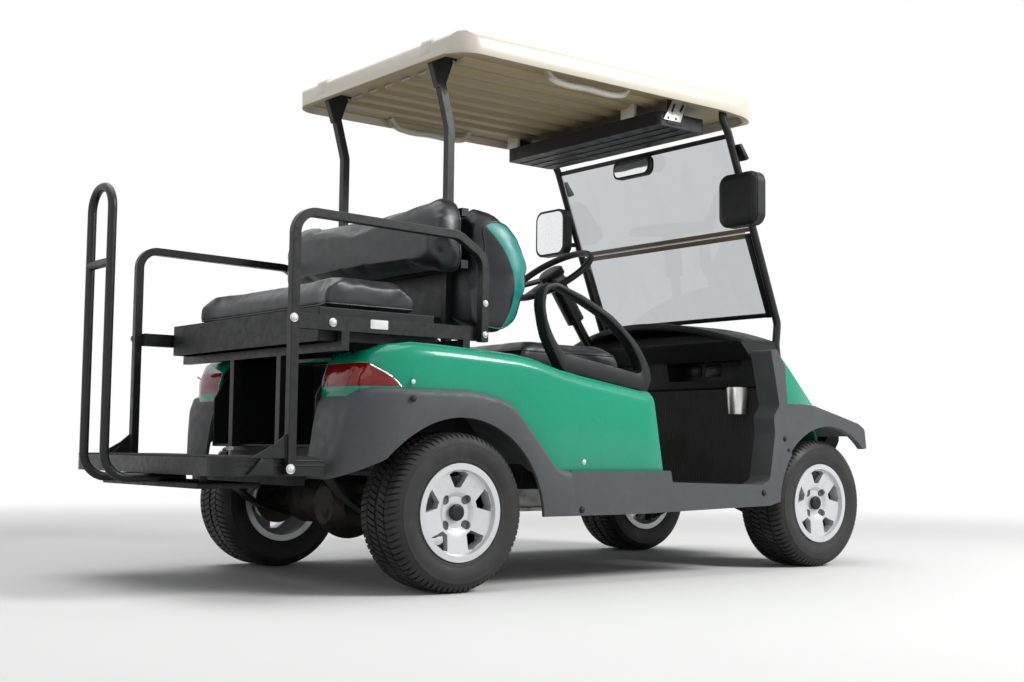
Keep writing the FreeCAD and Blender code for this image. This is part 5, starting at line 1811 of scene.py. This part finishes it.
@dataclass
class Cockpit:
    """Pad and spokes of the steering wheel, and the small pieces of the dash."""

    centre: Point = (1067, 270, 1085)
    lean: float = 36
    spoke_turns: tuple[float, ...] = (-25, 205, 270)

    def build(self) -> None:
        """Builds the wheel's cover, the cups and the blank plates."""
        self.helm()
        self.cups()
        self.plates()

    def helm(self) -> None:
        """Padded boss and flat spokes, turned to the column."""
        turn = (Matrix.Translation(spot(*self.centre)) @ Matrix.Rotation(math.radians(-self.lean), 4, "Y")
                @ Matrix.Rotation(-math.pi / 2, 4, "Z"))
        pad = drum(48, 50, 24, "pad", mm(0, 0, 2))
        choose(pad, "FACE", lambda middle, normal: normal.z > 0.9)
        bpy.ops.mesh.inset(thickness=8 * MM, depth=5 * MM)
        bpy.ops.mesh.inset(thickness=14 * MM, depth=3 * MM)
        done()
        pieces = [copied(eased(pad, 3, 3, 20), "boss", turn)]
        corners = [Vector((30, -23, -12)), Vector((95, -17, -7)), Vector((157, -20, -5)), Vector((157, 20, -5)),
                   Vector((95, 17, -7)), Vector((30, 23, -12))]
        spoke = plate([corner * MM for corner in corners], mm(0, 0, 11), "spoke", 4)
        for angle in self.spoke_turns:
            pieces.append(copied(spoke, "spoke", turn @ Matrix.Rotation(math.radians(angle), 4, "Z")))
        for master in (pad, spoke):
            bpy.data.objects.remove(master)
        mount(joined(pieces, "wheel_pad_and_spokes"), "steering_wheel", Coat.DARK)

    def cups(self) -> None:
        """Bright cup liners that hang from the rings of the dash."""
        deselect()
        bpy.ops.mesh.primitive_cone_add(vertices=40, radius1=31 * MM, radius2=37 * MM, depth=96 * MM,
                                        location=spot(1339, -440, 593))
        cup = settle(fresh("cup_liners"))
        choose(cup, "FACE", lambda middle, normal: normal.z < -0.9)
        bpy.ops.mesh.inset(thickness=6 * MM, depth=0)
        bpy.ops.mesh.inset(thickness=2 * MM, depth=-4 * MM)
        done()
        fixed(both_sides(eased(cup, 1.5)), Coat.ZINC)

    def plates(self) -> None:
        """Bare plates at the back of the dash's right pocket and pale strips on the door posts."""
        plates = []
        for y, z in (((-175, -83), (692, 735)), ((-275, -196), (689, 734))):
            outline = rounded(y, z, 5, lambda y, z: spot(1434.5, y, z))
            plates.append(plate(outline, mm(-3, 0, 0), "blank", 0.8))
        fixed(joined(plates, "dash_blank_plates"), Coat.STEEL)
        outline = [(1388, 716), (1420, 710), (1438, 566), (1404, 565)]
        strip = plate([spot(x, -504.6, z) for x, z in outline], mm(0, -1.8, 0), "post_strips", 0.6)
        fixed(both_sides(strip), Coat.STRIP)


# ---------------------------------------------------------------- the studio


@dataclass
class Studio:
    """Pale floor, soft lamps and the photograph's camera, whose angles are in radians."""

    focal_px: float = 1377.34
    frame_width: int = 1024
    camera_at: Point = (-2340.54, -3802.22, 415.62)
    yaw: float = 0.9027
    pitch: float = 0.0775
    roll: float = 0.0123
    floor_colour: Colour = (0.78, 0.78, 0.77)
    daylight: float = 0.28
    fade: Pair = (2.4, 6.0)
    # Rows of (name, place in metres, side in metres, power in watts).
    lamps: tuple[tuple[str, Point, float, float], ...] = (
        ("key", (3.2, -4.6, 4.2), 2.2, 360), ("overhead", (-0.6, 0.6, 5.2), 4.5, 160),
        ("rear_fill", (-5.0, -1.4, 2.4), 3.5, 30),
    )

    def build(self) -> None:
        """Builds the floor, the sky, the lamps and the camera."""
        self.floor()
        self.sky()
        for row in self.lamps:
            self.lamp(*row)
        self.camera()
        bpy.context.scene.view_settings.view_transform = "Standard"

    def floor(self) -> None:
        """A wide floor that keeps the shadow and fades into the white backdrop."""
        deselect()
        bpy.ops.mesh.primitive_circle_add(vertices=96, radius=40, fill_type="NGON")
        floor = fresh("studio_floor")
        sheet = Sheet("floor_paint")
        dimmer = tuple(0.97 * part for part in self.floor_colour)
        sheet.feed("Base Color", sheet.mixed(sheet.noise(0.8, 3), self.floor_colour, dimmer))
        sheet.set(Roughness=0.85, Specular_IOR_Level=0.2)
        far = sheet.ranged(sheet.reach(), self.fade, (0.0, 1.0))
        glow, mix = sheet.tree.nodes.new("ShaderNodeEmission"), sheet.tree.nodes.new("ShaderNodeMixShader")
        sheet.tree.links.new(sheet.maths("MULTIPLY", far, seen_rays(sheet.tree)), mix.inputs["Fac"])
        sheet.tree.links.new(sheet.surface.outputs[0], mix.inputs[1])
        sheet.tree.links.new(glow.outputs[0], mix.inputs[2])
        sheet.tree.links.new(mix.outputs[0], sheet.tree.nodes["Material Output"].inputs["Surface"])
        floor.data.materials.append(sheet.material)

    def sky(self) -> None:
        """White to the camera, to reflections and through glass, and a softer light on the cart."""
        world = bpy.data.worlds.new("sky")
        bpy.context.scene.world = world
        world.use_nodes = True
        tree = world.node_tree
        light, seen = tree.nodes["Background"], tree.nodes.new("ShaderNodeBackground")
        light.inputs["Color"].default_value = (0.96, 0.98, 1.0, 1)
        light.inputs["Strength"].default_value = self.daylight
        seen.inputs["Color"].default_value = (1, 1, 1, 1)
        seen.inputs["Strength"].default_value = 1.0
        mix = tree.nodes.new("ShaderNodeMixShader")
        tree.links.new(seen_rays(tree), mix.inputs["Fac"])
        tree.links.new(light.outputs[0], mix.inputs[1])
        tree.links.new(seen.outputs[0], mix.inputs[2])
        tree.links.new(mix.outputs[0], tree.nodes["World Output"].inputs["Surface"])

    def lamp(self, name: str, place: Point, size: float, power: float) -> None:
        """A square soft lamp that faces the cart.

        Args:
            name: the lamp's name.
            place: where it hangs, in metres.
            size: its side, in metres.
            power: its power in watts.
        """
        deselect()
        bpy.ops.object.light_add(type="AREA", location=place)
        lamp = bpy.context.object
        lamp.name = name
        lamp.data.size = size
        lamp.data.energy = power
        lamp.rotation_euler = (Vector((0, 0, 0.7)) - Vector(place)).to_track_quat("-Z", "Y").to_euler()

    def camera(self) -> None:
        """The camera as it stood for the photograph."""
        forward = Vector((math.cos(self.yaw) * math.cos(self.pitch), math.sin(self.yaw) * math.cos(self.pitch),
                          math.sin(self.pitch)))
        level = Vector((math.sin(self.yaw), -math.cos(self.yaw), 0))
        rise = level.cross(forward)
        right = level * math.cos(self.roll) + rise * math.sin(self.roll)
        up = rise * math.cos(self.roll) - level * math.sin(self.roll)
        deselect()
        place = spot(*self.camera_at)
        bpy.ops.object.camera_add(location=place)
        camera = bpy.context.object
        camera.name = "photo_camera"
        camera.matrix_world = Matrix.Translation(place) @ Matrix((right, up, -forward)).transposed().to_4x4()
        camera.data.sensor_width = 36
        camera.data.lens = self.focal_px / self.frame_width * 36
        bpy.context.scene.camera = camera


GROUPS = (Studio, Shells, Bodywork, Wheels, Upholstery, Fasteners, Glazing, TailTrim, RoofTrim, Cockpit)


def main() -> None:
    """Builds every group in order."""
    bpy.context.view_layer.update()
    for group in GROUPS:
        log.info("-- %s", group.__name__)
        group().build()


if __name__ == "__main__":
    main()
